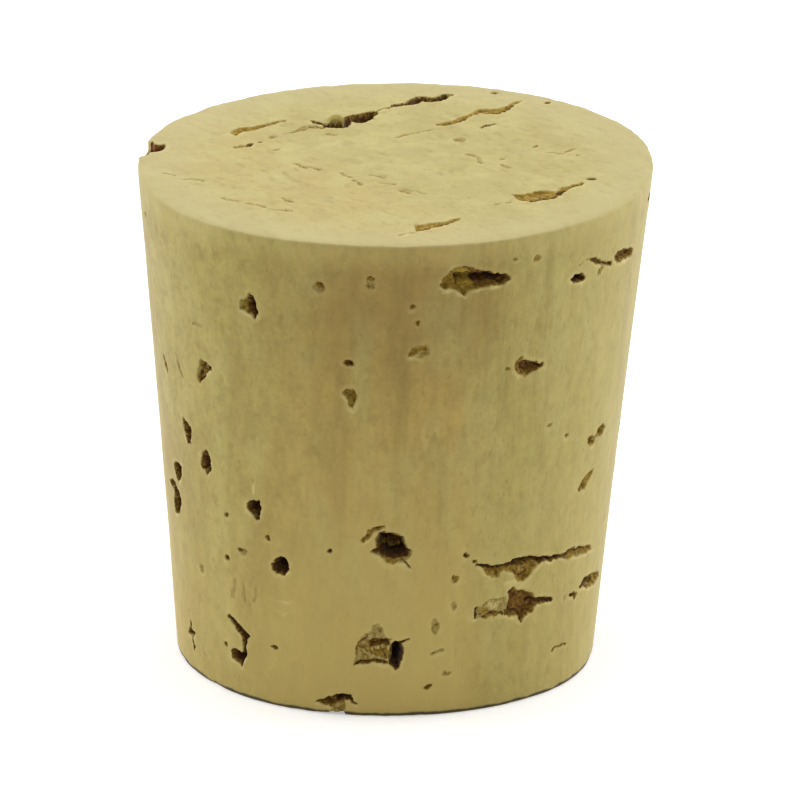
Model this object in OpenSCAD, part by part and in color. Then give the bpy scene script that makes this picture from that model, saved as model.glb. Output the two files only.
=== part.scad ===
// Tapered stopper of natural cork, 40 mm long.
//
// It is one piece: a plug turned to a taper from a single block of cork bark,
// with its two ends cut level. The pores that show on it are the mouths of the
// lenticels, channels that ran straight through the bark. The cut opens them
// as round holes on the two sides that face along the channels, and as long
// torn streaks on the other two sides and on both ends.
//
// The origin is on the face of the small end, straight below the middle of
// the large end. +Z points up to the large end, and -Y to the front.

/* [Body] */
// Diameter of the large end
top_d = 40; // [37:0.5:48]
// Diameter of the small end
base_d = 33; // [30:0.5:35]
// Length from face to face
length = 40; // [36:0.5:60]
// Lean of the taper's axis to +X, because the ends were cut a little out of square
lean = 1.2; // [0:0.1:2.5]
// Chamfer round the large end
top_arris = 0.3; // [0.1:0.05:0.8]
// Chamfer round the small end
base_arris = 0.2; // [0.1:0.05:0.8]

/* [Pores] */
// Length that one unit of the listed outlines stands for
pore_unit = 1; // [0.8:0.05:1.2]
// Depth of the patches where the surface is only torn
torn_depth = 0.4; // [0.2:0.05:0.8]
// Depth of the cracks and streaks
crack_depth = 1; // [0.6:0.1:2]
// Depth of the round pores
pore_depth = 1.6; // [1:0.1:3]
// Depth of the largest pores, which open into a channel
channel_depth = 2.4; // [1.5:0.1:4]
// Depth of a pore's wide mouth, as a share of the pore's depth
mouth_share = 0.5; // [0.3:0.05:0.7]
// Width of a pore's throat, as a share of its mouth
throat_share = 0.6; // [0.4:0.05:0.8]

/* [Chipped edges] */
// Angle round the large end at which its rim is chipped
rim_chip_angle = -101; // [-180:1:180]
// Depth of the rim's chip below the face
rim_chip_depth = 2; // [0.5:0.1:4]
// Angle round the small end at which its edge is chipped
base_chip_angle = -15; // [-180:1:180]
// Height of the chip in the small end's edge
base_chip_height = 0.35; // [0.2:0.05:1]
// Height of the long pore over the chipped edge
edge_pore_height = 1.4; // [1:0.1:3]
// Turn of that pore from the middle of the chip, towards +X
edge_pore_turn = 3; // [-10:0.5:10]

/* [Hidden] */
$fn = 96;

top_r = top_d / 2;
base_r = base_d / 2;
taper = atan((top_r - base_r) / length);

// How far the blank and the cutters run past the surface
past = 2;

// Sideways shift of the plug's axis at a height, and the plug's radius there
function axis_x(z) = -(length - z) * tan(lean);
function girth_r(z) = base_r + (top_r - base_r) * z / length;

// Outlines of pores on the sides that face away from the front
ROUND = [[-0.7, -0.2], [-0.4, 0.6], [0.2, 0.8], [0.7, 0.2], [0.5, -0.6], [-0.3, -0.8]];
DROP = [[-0.6, 0.1], [-0.3, 0.9], [0.4, 0.8], [0.6, 0.1], [0.2, -1.1], [-0.4, -0.6]];
TWIN = [[-1, 0.9], [0.3, 1.2], [0.9, 0.5], [0.3, -0.9], [-0.6, -1.2], [-0.5, -0.2]];
STREAK = [[-2.4, 0.1], [-1.2, 0.7], [0.5, 0.6], [2.6, 0], [0.7, -0.6], [-1, -0.5]];
THIN = [[-1.8, 0.1], [-0.4, 0.4], [1.9, 0.1], [0.8, -0.3], [-0.7, -0.3]];

// Each entry on the side: angle round the plug from the front, towards +X,
// height in percent of the length, and outline in [along the girth, up].
TORN_SIDE = [
    // rough patch beside the deep pore near the front's foot
    [-3, 14.5, [[-1.6, -1.4], [-1.3, 1], [-0.4, 1.4], [-0.1, 2.2], [0.6, 2.2],
                [0.9, 1.2], [1.4, 0.5], [1.3, -1.1], [-0.2, -1.2]]],
    // shallow left end of the wide brown pore
    [27, 22, [[-1.4, -0.7], [-1.1, 0.4], [-0.2, 0.8], [1.5, 0.7], [1.4, -0.9], [0.1, -0.9]]],
    [58, 28, [[-1.5, 0.5], [-0.3, 0.4], [1.6, -0.2], [1.4, -0.4], [-0.2, -0.2], [-1.4, 0.2]]],
    [-9, 68, [[-0.6, 0.4], [0.1, 0.7], [0.5, 0], [0.2, -0.6], [-0.3, -0.5]]],
    [60, 52.5, [[-1, 0.1], [0.2, 0.3], [1.3, -0.2], [0.3, -0.3], [-0.8, -0.3]]],
    [-57, 67.5, [[-0.4, 0.3], [0, 0.5], [0.4, 0], [0.2, -0.4], [-0.3, -0.3]]],
    [55, 43.5, [[-0.6, 0.3], [0.8, 0.3], [1.6, 0], [0.3, 0], [-0.3, -0.3]]],
    [-150, 79, THIN],
    [-121, 42, THIN]
];
CRACKS_SIDE = [
    // long streak under the rim, right of the front
    [18, 92, [[-2.6, -0.2], [-1.9, 0.5], [-1.5, 1], [-0.7, 1.1], [0.4, 0.6], [2, 0.3],
              [2.9, 0], [2.5, -0.4], [0.4, -0.5], [-0.3, -0.9], [-0.9, -1.2],
              [-1.3, -0.6], [-2, -0.4]]],
    [32.5, 72.5, [[-1.3, 0], [-1.1, 0.7], [-0.6, 0.9], [-0.1, 0.4], [0.5, 0.3], [1.6, -0.3],
                  [0.6, -0.4], [0, -0.8], [-0.7, -0.5]]],
    [64, 88, [[-2, 0.4], [-0.7, 0.7], [0.4, 0.4], [2, -0.2], [0.7, -0.4], [-0.7, -0.2]]],
    [-49, 68, [[-0.9, -1], [-0.9, 0.1], [-0.4, 0.9], [0.4, 0.9], [0.9, 0.5], [0.3, 0],
               [0, -0.5], [-0.6, -1.1]]],
    // crack bent like an S, left of the front
    [-42, 12.5, [[-1, 1.4], [-0.6, 1.9], [-0.3, 1.5], [0.2, 1.1], [0.6, 0.6], [0.8, 0.1],
                 [0.7, -0.6], [0.6, -1.1], [0.2, -2], [-0.1, -2.4], [-0.3, -1.9],
                 [-1, -1.6], [-0.5, -1], [0.2, -0.8], [0.1, -0.3], [-0.3, 0.3],
                 [-0.2, 0.8], [-0.6, 1]]],
    [-64, 8.5, [[-0.7, -0.2], [-0.4, 0.5], [0.3, 0.9], [0.8, 0.3], [0.5, -0.3],
                [0.5, -1], [0.1, -1.3], [-0.2, -0.6]]],
    // long ragged crack, right of the front, in three stretches
    [26, 30.5, [[-1, 0.4], [0.3, 0.3], [1.6, 0.2], [1.6, -0.4], [0.6, -0.6], [-0.2, -0.1]]],
    [37, 30, [[-2.4, 0.3], [-0.6, 0.5], [0.3, 0.6], [2, 0.1], [2.9, -0.2], [2.1, -0.5],
              [0.9, -0.6], [0.3, -0.9], [-0.2, -1.3], [-0.8, -1.4], [-1.3, -0.7],
              [-2.2, -0.2]]],
    [50, 29, [[-1.5, 0.3], [0, 0.2], [1.2, -0.1], [0.8, -0.6], [-0.3, -0.3], [-1.2, 0]]],
    // wide brown pore under that crack
    [37, 22, [[-1.7, 1.1], [-0.9, 1.2], [0.9, 0.6], [1.1, 0], [2.9, -0.5], [1.2, -0.9],
              [0.3, -1.5], [-0.3, -1.5], [-1, -1.1], [-2, -0.8], [-1.7, 0]]],
    [65, 19.5, [[-2.1, 0.5], [-0.9, 0.4], [0.9, -0.1], [2.4, -0.6], [1.2, -0.8],
                [-0.3, -0.4], [-1.8, 0.1]]],
    [-145, 60, STREAK],
    [-158, 33, STREAK],
    [-128, 18, THIN],
    [-172, 85, THIN],
    [176, 14, DROP]
];
PORES_SIDE = [
    [-34, 85, [[-1, -0.5], [-1, 0.3], [-0.3, 0.7], [0.1, 1.2], [0.5, 0.5], [0.8, -0.7],
               [0.5, -1.2], [-0.1, -0.8]]],
    [-58, 53, [[-0.7, 0.1], [-0.6, 1], [0.1, 0.9], [0.5, 0.6], [0.5, -0.1], [0.3, -0.9],
               [-0.1, -1.1], [-0.4, -0.7]]],
    [-51, 48.5, [[-0.5, -0.2], [-0.3, 0.6], [0.2, 1], [0.5, 0.4], [0.5, -0.4], [0.1, -1],
                 [-0.4, -0.7]]],
    [-65.5, 42.5, [[-0.7, 0.4], [-0.1, 0.7], [0.7, 0.6], [0.5, -0.1], [0, -0.8],
                   [-0.4, -0.3]]],
    [-68, 36, [[-1.3, 1], [-0.7, 1.3], [0.3, 1.4], [0.5, 1], [1, 0.5], [0.7, -0.1],
               [0.3, -1], [-0.6, -1.3], [-0.7, -0.5], [-0.4, 0.4]]],
    [-35, 42, [[-0.7, 0], [-0.5, 0.6], [0.6, 0.8], [0.5, 0.2], [0.4, -0.7], [0, -0.9],
               [-0.3, -0.4]]],
    [45, 88.5, [[-0.8, 0.2], [-0.3, 0.4], [0.4, 0.3], [1, -0.2], [0.2, -0.4], [-0.5, -0.3]]],
    [81, 95.5, [[-0.8, 0.1], [0, 0.4], [0.8, 0.1], [0.5, -0.3], [-0.5, -0.3]]],
    [-109, 58, ROUND],
    [-116, 27, DROP],
    [103, 76, ROUND],
    [113, 33, TWIN],
    [138, 71, DROP],
    [151, 38, ROUND],
    [131, 13, ROUND]
];
CHANNELS_SIDE = [
    [-28, 31, [[-0.7, -0.1], [-0.4, 0.4], [0.1, 0.7], [0.7, 0.2], [0.8, -0.3], [0.4, -0.8],
               [-0.4, -0.8]]],
    // largest hole, at the front
    [0.7, 37, [[-1.6, -0.6], [-1.2, -0.2], [-1.1, 0.7], [-0.8, 1.2], [0.5, 1], [1, 0.3],
               [1.6, -0.3], [1.2, -0.8], [1, -1.3], [-0.4, -1.4], [-0.6, -0.9]]],
    [2.7, 13.5, [[-0.6, 0], [-0.4, 0.8], [-0.2, 1.3], [0.3, 1.1], [0.6, 0.3], [0.4, -0.7],
                 [0.2, -1.2], [-0.3, -1.1]]],
    [124, 52, ROUND]
];

// Each entry on an end: place in percent of that end's radius, and outline.
TORN_ENDS = [
    [[-38, 37], [[-1.4, -1], [-0.3, 0.1], [0.7, 1.2], [1.3, 1], [1.1, 0.2], [-0.6, -0.9]]],
    [[-52, 42], [[-2.2, -1.8], [-1.8, -0.9], [-0.2, 0.3], [0.8, 1.3], [2.1, 1.7],
                 [1.1, 0.7], [0.4, -0.2], [-1, -0.9], [-1.5, -1.8]]],
    [[13, -78], [[-2.8, -2], [-1.2, -0.8], [-1.1, 0.4], [0, 0.5], [2.3, 2], [1.3, 0.4],
                 [0, -0.4], [-0.4, -1.2], [-1.6, -1.3]]]
];
CRACKS_ENDS = [
    // bend of the longest crack round a knot
    [[-25.5, 44.5], [[-1.5, 1], [-0.9, -0.3], [0.1, -1.2], [1, -0.7], [1.4, 0.9], [0.8, 0.7],
                     [0.5, -0.2], [0.1, -0.5], [-0.4, 0.1], [-0.9, 1]]],
    // its far half, in a zigzag
    [[8, 74.5], [[-3.7, -3.2], [-2.5, -1.9], [-1.7, -1], [-1.3, -0.4], [-0.6, 0.2],
                 [-0.1, 1.2], [0.7, 1.2], [1.2, 0.7], [1.7, 1.4], [2.8, 2.1], [2.5, 1],
                 [1.7, 0.7], [1.2, 0], [0.6, 0.4], [-0.2, -0.3], [-0.9, -0.6],
                 [-1.3, -1.4], [-2.2, -2]]],
    [[26, 51], [[-1.8, -1.8], [-1.8, -1.2], [-0.6, -0.2], [0.4, 1.1], [1.7, 1.9],
                [1.2, 1], [0, -0.3], [-0.7, -1.2]]],
    [[57, -39], [[-2.6, -1.5], [-2.4, 0.1], [-1.1, -0.1], [0.1, 0.8], [0.8, 0.5],
                 [1.8, 1.2], [2.9, 2.6], [3, 2.1], [2, 0.8], [0.8, -0.8], [-0.5, -1.1],
                 [-1.3, -1.7]]]
];
PORES_ENDS = [
    // dark middle of the longest crack
    [[-14.5, 54.5], [[-1.4, -1], [-0.6, 0], [0.3, 0.7], [1.1, 1.4], [1.3, 0.8], [0.8, -0.3],
                     [0.5, -0.9], [-0.7, -1.1]]],
    [[38, 61], [[-1, -0.3], [-0.2, 0.5], [1.1, 1.2], [1.2, 0.5], [0.6, -0.6],
                [-0.2, -1.1], [-0.7, -0.8]]]
];
CRACKS_BASE = [
    [[-38, 34], [[-2.6, 1.9], [-1.2, 0.9], [0.4, 0.3], [2.4, -1.8], [2, -2], [0.6, -0.5],
                 [-0.9, 0.3]]],
    [[34, -42], [[-3, 2.3], [-1.5, 1.6], [-0.2, 0.5], [1.4, -0.3], [2.9, -2.1],
                 [1.2, -1], [-1.4, 0.6]]],
    [[46, 37], [[-1.2, 0.9], [-0.4, 0.8], [0.6, -0.2], [1.1, -0.9], [0.2, -0.5],
                [-0.8, 0.2]]]
];

// Long pore whose lower lip is the small end's edge, and the two chips
EDGE_PORE = [[-1.6, -0.5], [-0.8, 0.2], [0.2, 0.5], [0.8, 0.4], [1.4, -0.2], [0.9, -0.5],
             [-0.5, -0.6]];
RIM_CHIP = [[-1.2, -past], [-1.1, 0.9], [-0.2, 1.6], [0.8, 1.3], [1.2, 0.4], [1.2, -past]];
BASE_CHIP = [[-1.6, -past], [-1.5, 0.4], [-0.4, 0.9], [0.9, 1.2], [1.3, 0.5], [1.3, -past]];

module stopper() {
    color("#b7a76c")
        difference() {
            blank();
            side_pores();
            top_pores();
            base_pores();
            rim_chip();
            base_chip();
        }
}

// The plug before its pores: a leaning taper, cut level and chamfered
module blank() {
    intersection() {
        taper_blank();
        level_ends();
    }
}

module taper_blank() {
    run = length / cos(lean);
    spread = past * tan(taper);
    translate([0, 0, length])
        rotate([0, lean, 0])
            translate([0, 0, -run - past])
                cylinder(run + 2 * past, base_r - spread, top_r + spread);
}

// Level faces, each with its chamfer as a cone at 45 degrees
module level_ends() {
    half = length / 2;
    translate([0, 0, half])
        cylinder(half, top_r - top_arris + half, top_r - top_arris);
    translate([axis_x(0), 0, 0])
        cylinder(half, base_r - base_arris, base_r - base_arris + half);
}

// Puts its children on the side with local Z outwards and local Y up the side
module on_side(angle, z) {
    translate([axis_x(z), 0, z])
        rotate([0, 0, angle])
            translate([0, -girth_r(z), 0])
                rotate([90 + taper, 0, 0])
                    children();
}

module on_top(place) {
    translate([place.x * top_r / 100, place.y * top_r / 100, length])
        children();
}

module on_base(place) {
    translate([axis_x(0) + place.x * base_r / 100, place.y * base_r / 100, 0])
        rotate([180, 0, 0])
            children();
}

// A straight hollow below the local surface
module hollow(depth, outline) {
    translate([0, 0, -depth])
        linear_extrude(depth + past)
            polygon(outline * pore_unit);
}

// A pore: a wide mouth over a narrower throat
module pore(depth, outline) {
    hollow(depth * mouth_share, outline);
    hollow(depth, outline * throat_share);
}

module side_pores() {
    for (p = TORN_SIDE)
        on_side(p[0], p[1] * length / 100) hollow(torn_depth, p[2]);
    for (p = CRACKS_SIDE)
        on_side(p[0], p[1] * length / 100) hollow(crack_depth, p[2]);
    for (p = PORES_SIDE)
        on_side(p[0], p[1] * length / 100) pore(pore_depth, p[2]);
    for (p = CHANNELS_SIDE)
        on_side(p[0], p[1] * length / 100) pore(channel_depth, p[2]);
    on_side(base_chip_angle + edge_pore_turn, edge_pore_height)
        hollow(crack_depth, EDGE_PORE);
}

module top_pores() {
    for (p = TORN_ENDS)
        on_top(p[0]) hollow(torn_depth, p[1]);
    for (p = CRACKS_ENDS)
        on_top(p[0]) hollow(crack_depth, p[1]);
    for (p = PORES_ENDS)
        on_top(p[0]) pore(pore_depth, p[1]);
}

module base_pores() {
    for (p = CRACKS_BASE)
        on_base(p[0]) hollow(crack_depth, p[1]);
}

// A bite out of the large end's rim
module rim_chip() {
    rotate([0, 0, rim_chip_angle])
        translate([0, -top_r, length])
            hollow(rim_chip_depth, RIM_CHIP);
}

// The small end's edge, broken off under the long pore
module base_chip() {
    translate([axis_x(0), 0, 0])
        rotate([0, 0, base_chip_angle])
            translate([0, -base_r, base_chip_height - past])
                linear_extrude(past)
                    polygon(BASE_CHIP * pore_unit);
}

stopper();
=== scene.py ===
import math

import bmesh
import bpy
import numpy as np
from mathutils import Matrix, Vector, noise


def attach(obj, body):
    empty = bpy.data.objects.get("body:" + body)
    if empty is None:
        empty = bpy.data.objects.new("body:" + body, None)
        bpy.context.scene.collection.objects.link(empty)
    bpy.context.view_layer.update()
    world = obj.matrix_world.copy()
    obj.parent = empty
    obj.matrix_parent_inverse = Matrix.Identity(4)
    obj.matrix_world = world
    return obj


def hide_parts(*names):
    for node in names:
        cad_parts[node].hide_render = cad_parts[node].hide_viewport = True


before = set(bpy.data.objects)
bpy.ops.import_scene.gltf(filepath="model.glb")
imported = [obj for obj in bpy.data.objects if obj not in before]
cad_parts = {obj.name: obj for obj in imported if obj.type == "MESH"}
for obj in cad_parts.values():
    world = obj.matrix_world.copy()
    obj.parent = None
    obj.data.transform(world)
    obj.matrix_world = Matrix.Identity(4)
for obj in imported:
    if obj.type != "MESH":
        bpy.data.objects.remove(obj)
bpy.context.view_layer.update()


# ==================================================================== the turned plug
# The stopper is one piece of natural cork, cut as a block from the bark and turned
# to a taper on a lathe or against a grinding wheel. Both ends are sawn level, and
# the cut leaves its two rims nearly sharp.

MM = 0.001
LARGE_END = 40 * MM
SMALL_END = 33 * MM
LENGTH = 40 * MM
LEAN = math.radians(1.2)
ARRIS = 0.20 * MM
ARRIS_STEPS = 3


def add(tree, kind, inputs=(), **settings):
    """A node of a tree, with its settings made and its inputs set or linked."""
    made = tree.nodes.new(kind)
    for name, value in settings.items():
        setattr(made, name, value)
    for name, value in dict(inputs).items():
        if isinstance(value, bpy.types.NodeSocket):
            tree.links.new(value, made.inputs[name])
        else:
            made.inputs[name].default_value = value
    return made


def calc(tree, operation, *values):
    """The output of a Math node that works on sockets or plain numbers."""
    return add(tree, "ShaderNodeMath", enumerate(values), operation=operation).outputs[0]


def new_tree(name, inputs):
    """A Geometry Nodes tree with named inputs, one geometry output, and its Group Input."""
    tree = bpy.data.node_groups.new(name, "GeometryNodeTree")
    for label, kind, value in inputs:
        socket = tree.interface.new_socket(label, in_out="INPUT", socket_type=kind)
        if value is not None:
            socket.default_value = value
    tree.interface.new_socket("Geometry", in_out="OUTPUT", socket_type="NodeSocketGeometry")
    return tree, tree.nodes.new("NodeGroupInput").outputs


def close_tree(tree, geometry, material):
    """Ends a tree in Realize Instances and Set Material."""
    real = add(tree, "GeometryNodeRealizeInstances", {"Geometry": geometry})
    done = add(tree, "GeometryNodeSetMaterial",
               {"Geometry": real.outputs[0], "Material": material})
    add(tree, "NodeGroupOutput", {0: done.outputs[0]})


def placed(name, data):
    """A new object in the scene that holds a mesh, a lamp or a camera."""
    thing = bpy.data.objects.new(name, data)
    bpy.context.scene.collection.objects.link(thing)
    return thing


def grow(name, base_mesh, tree, values, *finishing):
    """The plain mesh that a tree makes from a start mesh, with the given inputs."""
    carrier = placed(name, base_mesh)
    modifier = carrier.modifiers.new(name, "NODES")
    modifier.node_group = tree
    for item in tree.interface.items_tree:
        if item.in_out == "INPUT" and item.name in values:
            modifier[item.identifier] = values[item.name]
    for finish in finishing:
        finish(carrier)
    evaluated = carrier.evaluated_get(bpy.context.evaluated_depsgraph_get())
    mesh = bpy.data.meshes.new_from_object(evaluated)
    bpy.data.objects.remove(carrier)
    return mesh


# A box of small squares, rounded to a circle ring by ring and drawn out to the taper
turned_plug, plug_in = new_tree("turned_plug", [
    ("Large end", "NodeSocketFloat", LARGE_END),
    ("Small end", "NodeSocketFloat", SMALL_END),
    ("Length", "NodeSocketFloat", LENGTH),
    ("Lean", "NodeSocketFloat", LEAN),
    ("Steps across", "NodeSocketInt", 48),
    ("Steps up", "NodeSocketInt", 66),
    ("Material", "NodeSocketMaterial", None),
])
across = calc(turned_plug, "ADD", plug_in["Steps across"], 1)
up = calc(turned_plug, "ADD", plug_in["Steps up"], 1)
block = add(turned_plug, "GeometryNodeMeshCube", {
    "Vertices X": across, "Vertices Y": across, "Vertices Z": up})
spot = add(turned_plug, "ShaderNodeSeparateXYZ", {
    0: turned_plug.nodes.new("GeometryNodeInputPosition").outputs[0]})
x = calc(turned_plug, "MULTIPLY", spot.outputs[0], 2)
y = calc(turned_plug, "MULTIPLY", spot.outputs[1], 2)
height = calc(turned_plug, "ADD", spot.outputs[2], 0.5)
wide = add(turned_plug, "FunctionNodeCompare", {
    0: calc(turned_plug, "ABSOLUTE", x), 1: calc(turned_plug, "ABSOLUTE", y)},
    data_type="FLOAT", operation="GREATER_THAN").outputs[0]


def either(if_wide, if_not):
    return add(turned_plug, "GeometryNodeSwitch", {
        "Switch": wide, "True": if_wide, "False": if_not}, input_type="FLOAT").outputs[0]


ring = either(x, y)
share = calc(turned_plug, "DIVIDE", either(y, x), ring)
eighth = calc(turned_plug, "MULTIPLY", share, math.pi / 4)
turn = either(eighth, calc(turned_plug, "SUBTRACT", math.pi / 2, eighth))
girth = calc(turned_plug, "MULTIPLY", 0.5, calc(
    turned_plug, "ADD", plug_in["Small end"], calc(
        turned_plug, "MULTIPLY", height, calc(
            turned_plug, "SUBTRACT", plug_in["Large end"], plug_in["Small end"]))))
reach = calc(turned_plug, "MULTIPLY", ring, girth)
shift = calc(turned_plug, "MULTIPLY", calc(turned_plug, "SUBTRACT", height, 1), calc(
    turned_plug, "MULTIPLY", plug_in["Length"], calc(
        turned_plug, "TANGENT", plug_in["Lean"])))
place = add(turned_plug, "ShaderNodeCombineXYZ", {
    "X": calc(turned_plug, "ADD", shift, calc(
        turned_plug, "MULTIPLY", reach, calc(turned_plug, "COSINE", turn))),
    "Y": calc(turned_plug, "MULTIPLY", reach, calc(turned_plug, "SINE", turn)),
    "Z": calc(turned_plug, "MULTIPLY", height, plug_in["Length"])})
turned = add(turned_plug, "GeometryNodeSetPosition", {
    "Geometry": block.outputs["Mesh"], "Position": place.outputs[0]})
close_tree(turned_plug, turned.outputs[0], plug_in["Material"])

cork = bpy.data.materials.new("cork")


def break_arris(carrier):
    """Takes the sharpness off the two rims."""
    bevel = carrier.modifiers.new("arris", "BEVEL")
    bevel.width = ARRIS
    bevel.segments = ARRIS_STEPS
    bevel.limit_method = "ANGLE"
    bevel.angle_limit = math.radians(60)


blank = grow("blank", bpy.data.meshes.new("start"), turned_plug,
             {"Material": cork}, break_arris)


# ==================================================================== pores and cracks
# The turned face opens the lenticels, the channels by which the bark breathed. Cut
# across they are round holes, cut along they are torn streaks, and what lines them
# is dark and crumbly. Measures here are in millimetres.

# How each kind is cut: depth, width of its wall, how crumbly its floor is, how far
# the dark lining covers it, how dark and how red that lining is, and how strong the
# painted highlight is on the lip under it. A fold stands up from the floor of a pore, a
# chip only gets a finer mesh here, and a cover below 0 stands for a bare pale patch.
KINDS = {
    "channel": (2.4, 0.30, 0.20, 1.00, 1.00, 0.10, 0.9),
    "pore": (1.5, 0.26, 0.25, 1.00, 0.92, 0.15, 0.9),
    "crack": (0.9, 0.18, 0.35, 1.00, 0.86, 0.12, 0.8),
    "rusty": (1.2, 0.20, 0.20, 1.00, 0.85, 0.80, 0.8),
    "brown": (0.6, 0.12, 0.30, 1.00, 0.50, 0.30, 0.7),
    "ledge": (0.32, 0.16, 0.90, 0.60, 0.26, 0.12, 0.6),
    "orange": (0.20, 0.16, 0.80, 0.66, 0.24, 0.00, 0.6),
    "torn": (0.15, 0.18, 1.00, 0.40, 0.30, 0.10, 0.3),
    "scar": (0.12, 0.12, 0.60, 0.46, 0.36, 0.00, 0.4),
    "fleck": (0.25, 0.12, 0.20, 0.90, 0.60, 0.15, 0.3),
    "hatch": (0.16, 0.08, 0.30, 0.80, 0.55, 0.10, 0.1),
    "faint": (0.04, 0.25, 0.50, 0.36, 0.25, 0.05, 0.1),
    "dent": (0.07, 0.90, 0.00, 0.00, 0.00, 0.00, 0.0),
    "stain": (0.02, 0.90, 0.00, 0.08, 0.25, 0.00, 0.0),
    "pale": (0.05, 0.25, 0.60, -0.8, 0.00, 0.00, 0.0),
    "fold": (-1.7, 0.20, 0.30, 1.00, 0.50, 0.00, 0.0),
    "chip": (0.00, 0.20, 0.00, 0.00, 0.00, 0.00, 0.0),
}


def oval(width, height, tilt=0):
    """The outline of an oval, turned by tilt degrees."""
    c, s = math.cos(math.radians(tilt)), math.sin(math.radians(tilt))
    ring = [(math.cos(k * math.pi / 5) * width / 2, math.sin(k * math.pi / 5) * height / 2)
            for k in range(10)]
    return [(u * c - v * s, u * s + v * c) for u, v in ring]


ROUND = [(-0.7, -0.2), (-0.4, 0.6), (0.2, 0.8), (0.7, 0.2), (0.5, -0.6), (-0.3, -0.8)]
DROP = [(-0.6, 0.1), (-0.3, 0.9), (0.4, 0.8), (0.6, 0.1), (0.2, -1.1), (-0.4, -0.6)]
TWIN = [(-1, 0.9), (0.3, 1.2), (0.9, 0.5), (0.3, -0.9), (-0.6, -1.2), (-0.5, -0.2)]
STREAK = [(-2.4, 0.1), (-1.2, 0.7), (0.5, 0.6), (2.6, 0), (0.7, -0.6), (-1, -0.5)]
THIN = [(-1.8, 0.1), (-0.4, 0.4), (1.9, 0.1), (0.8, -0.3), (-0.7, -0.3)]

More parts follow.
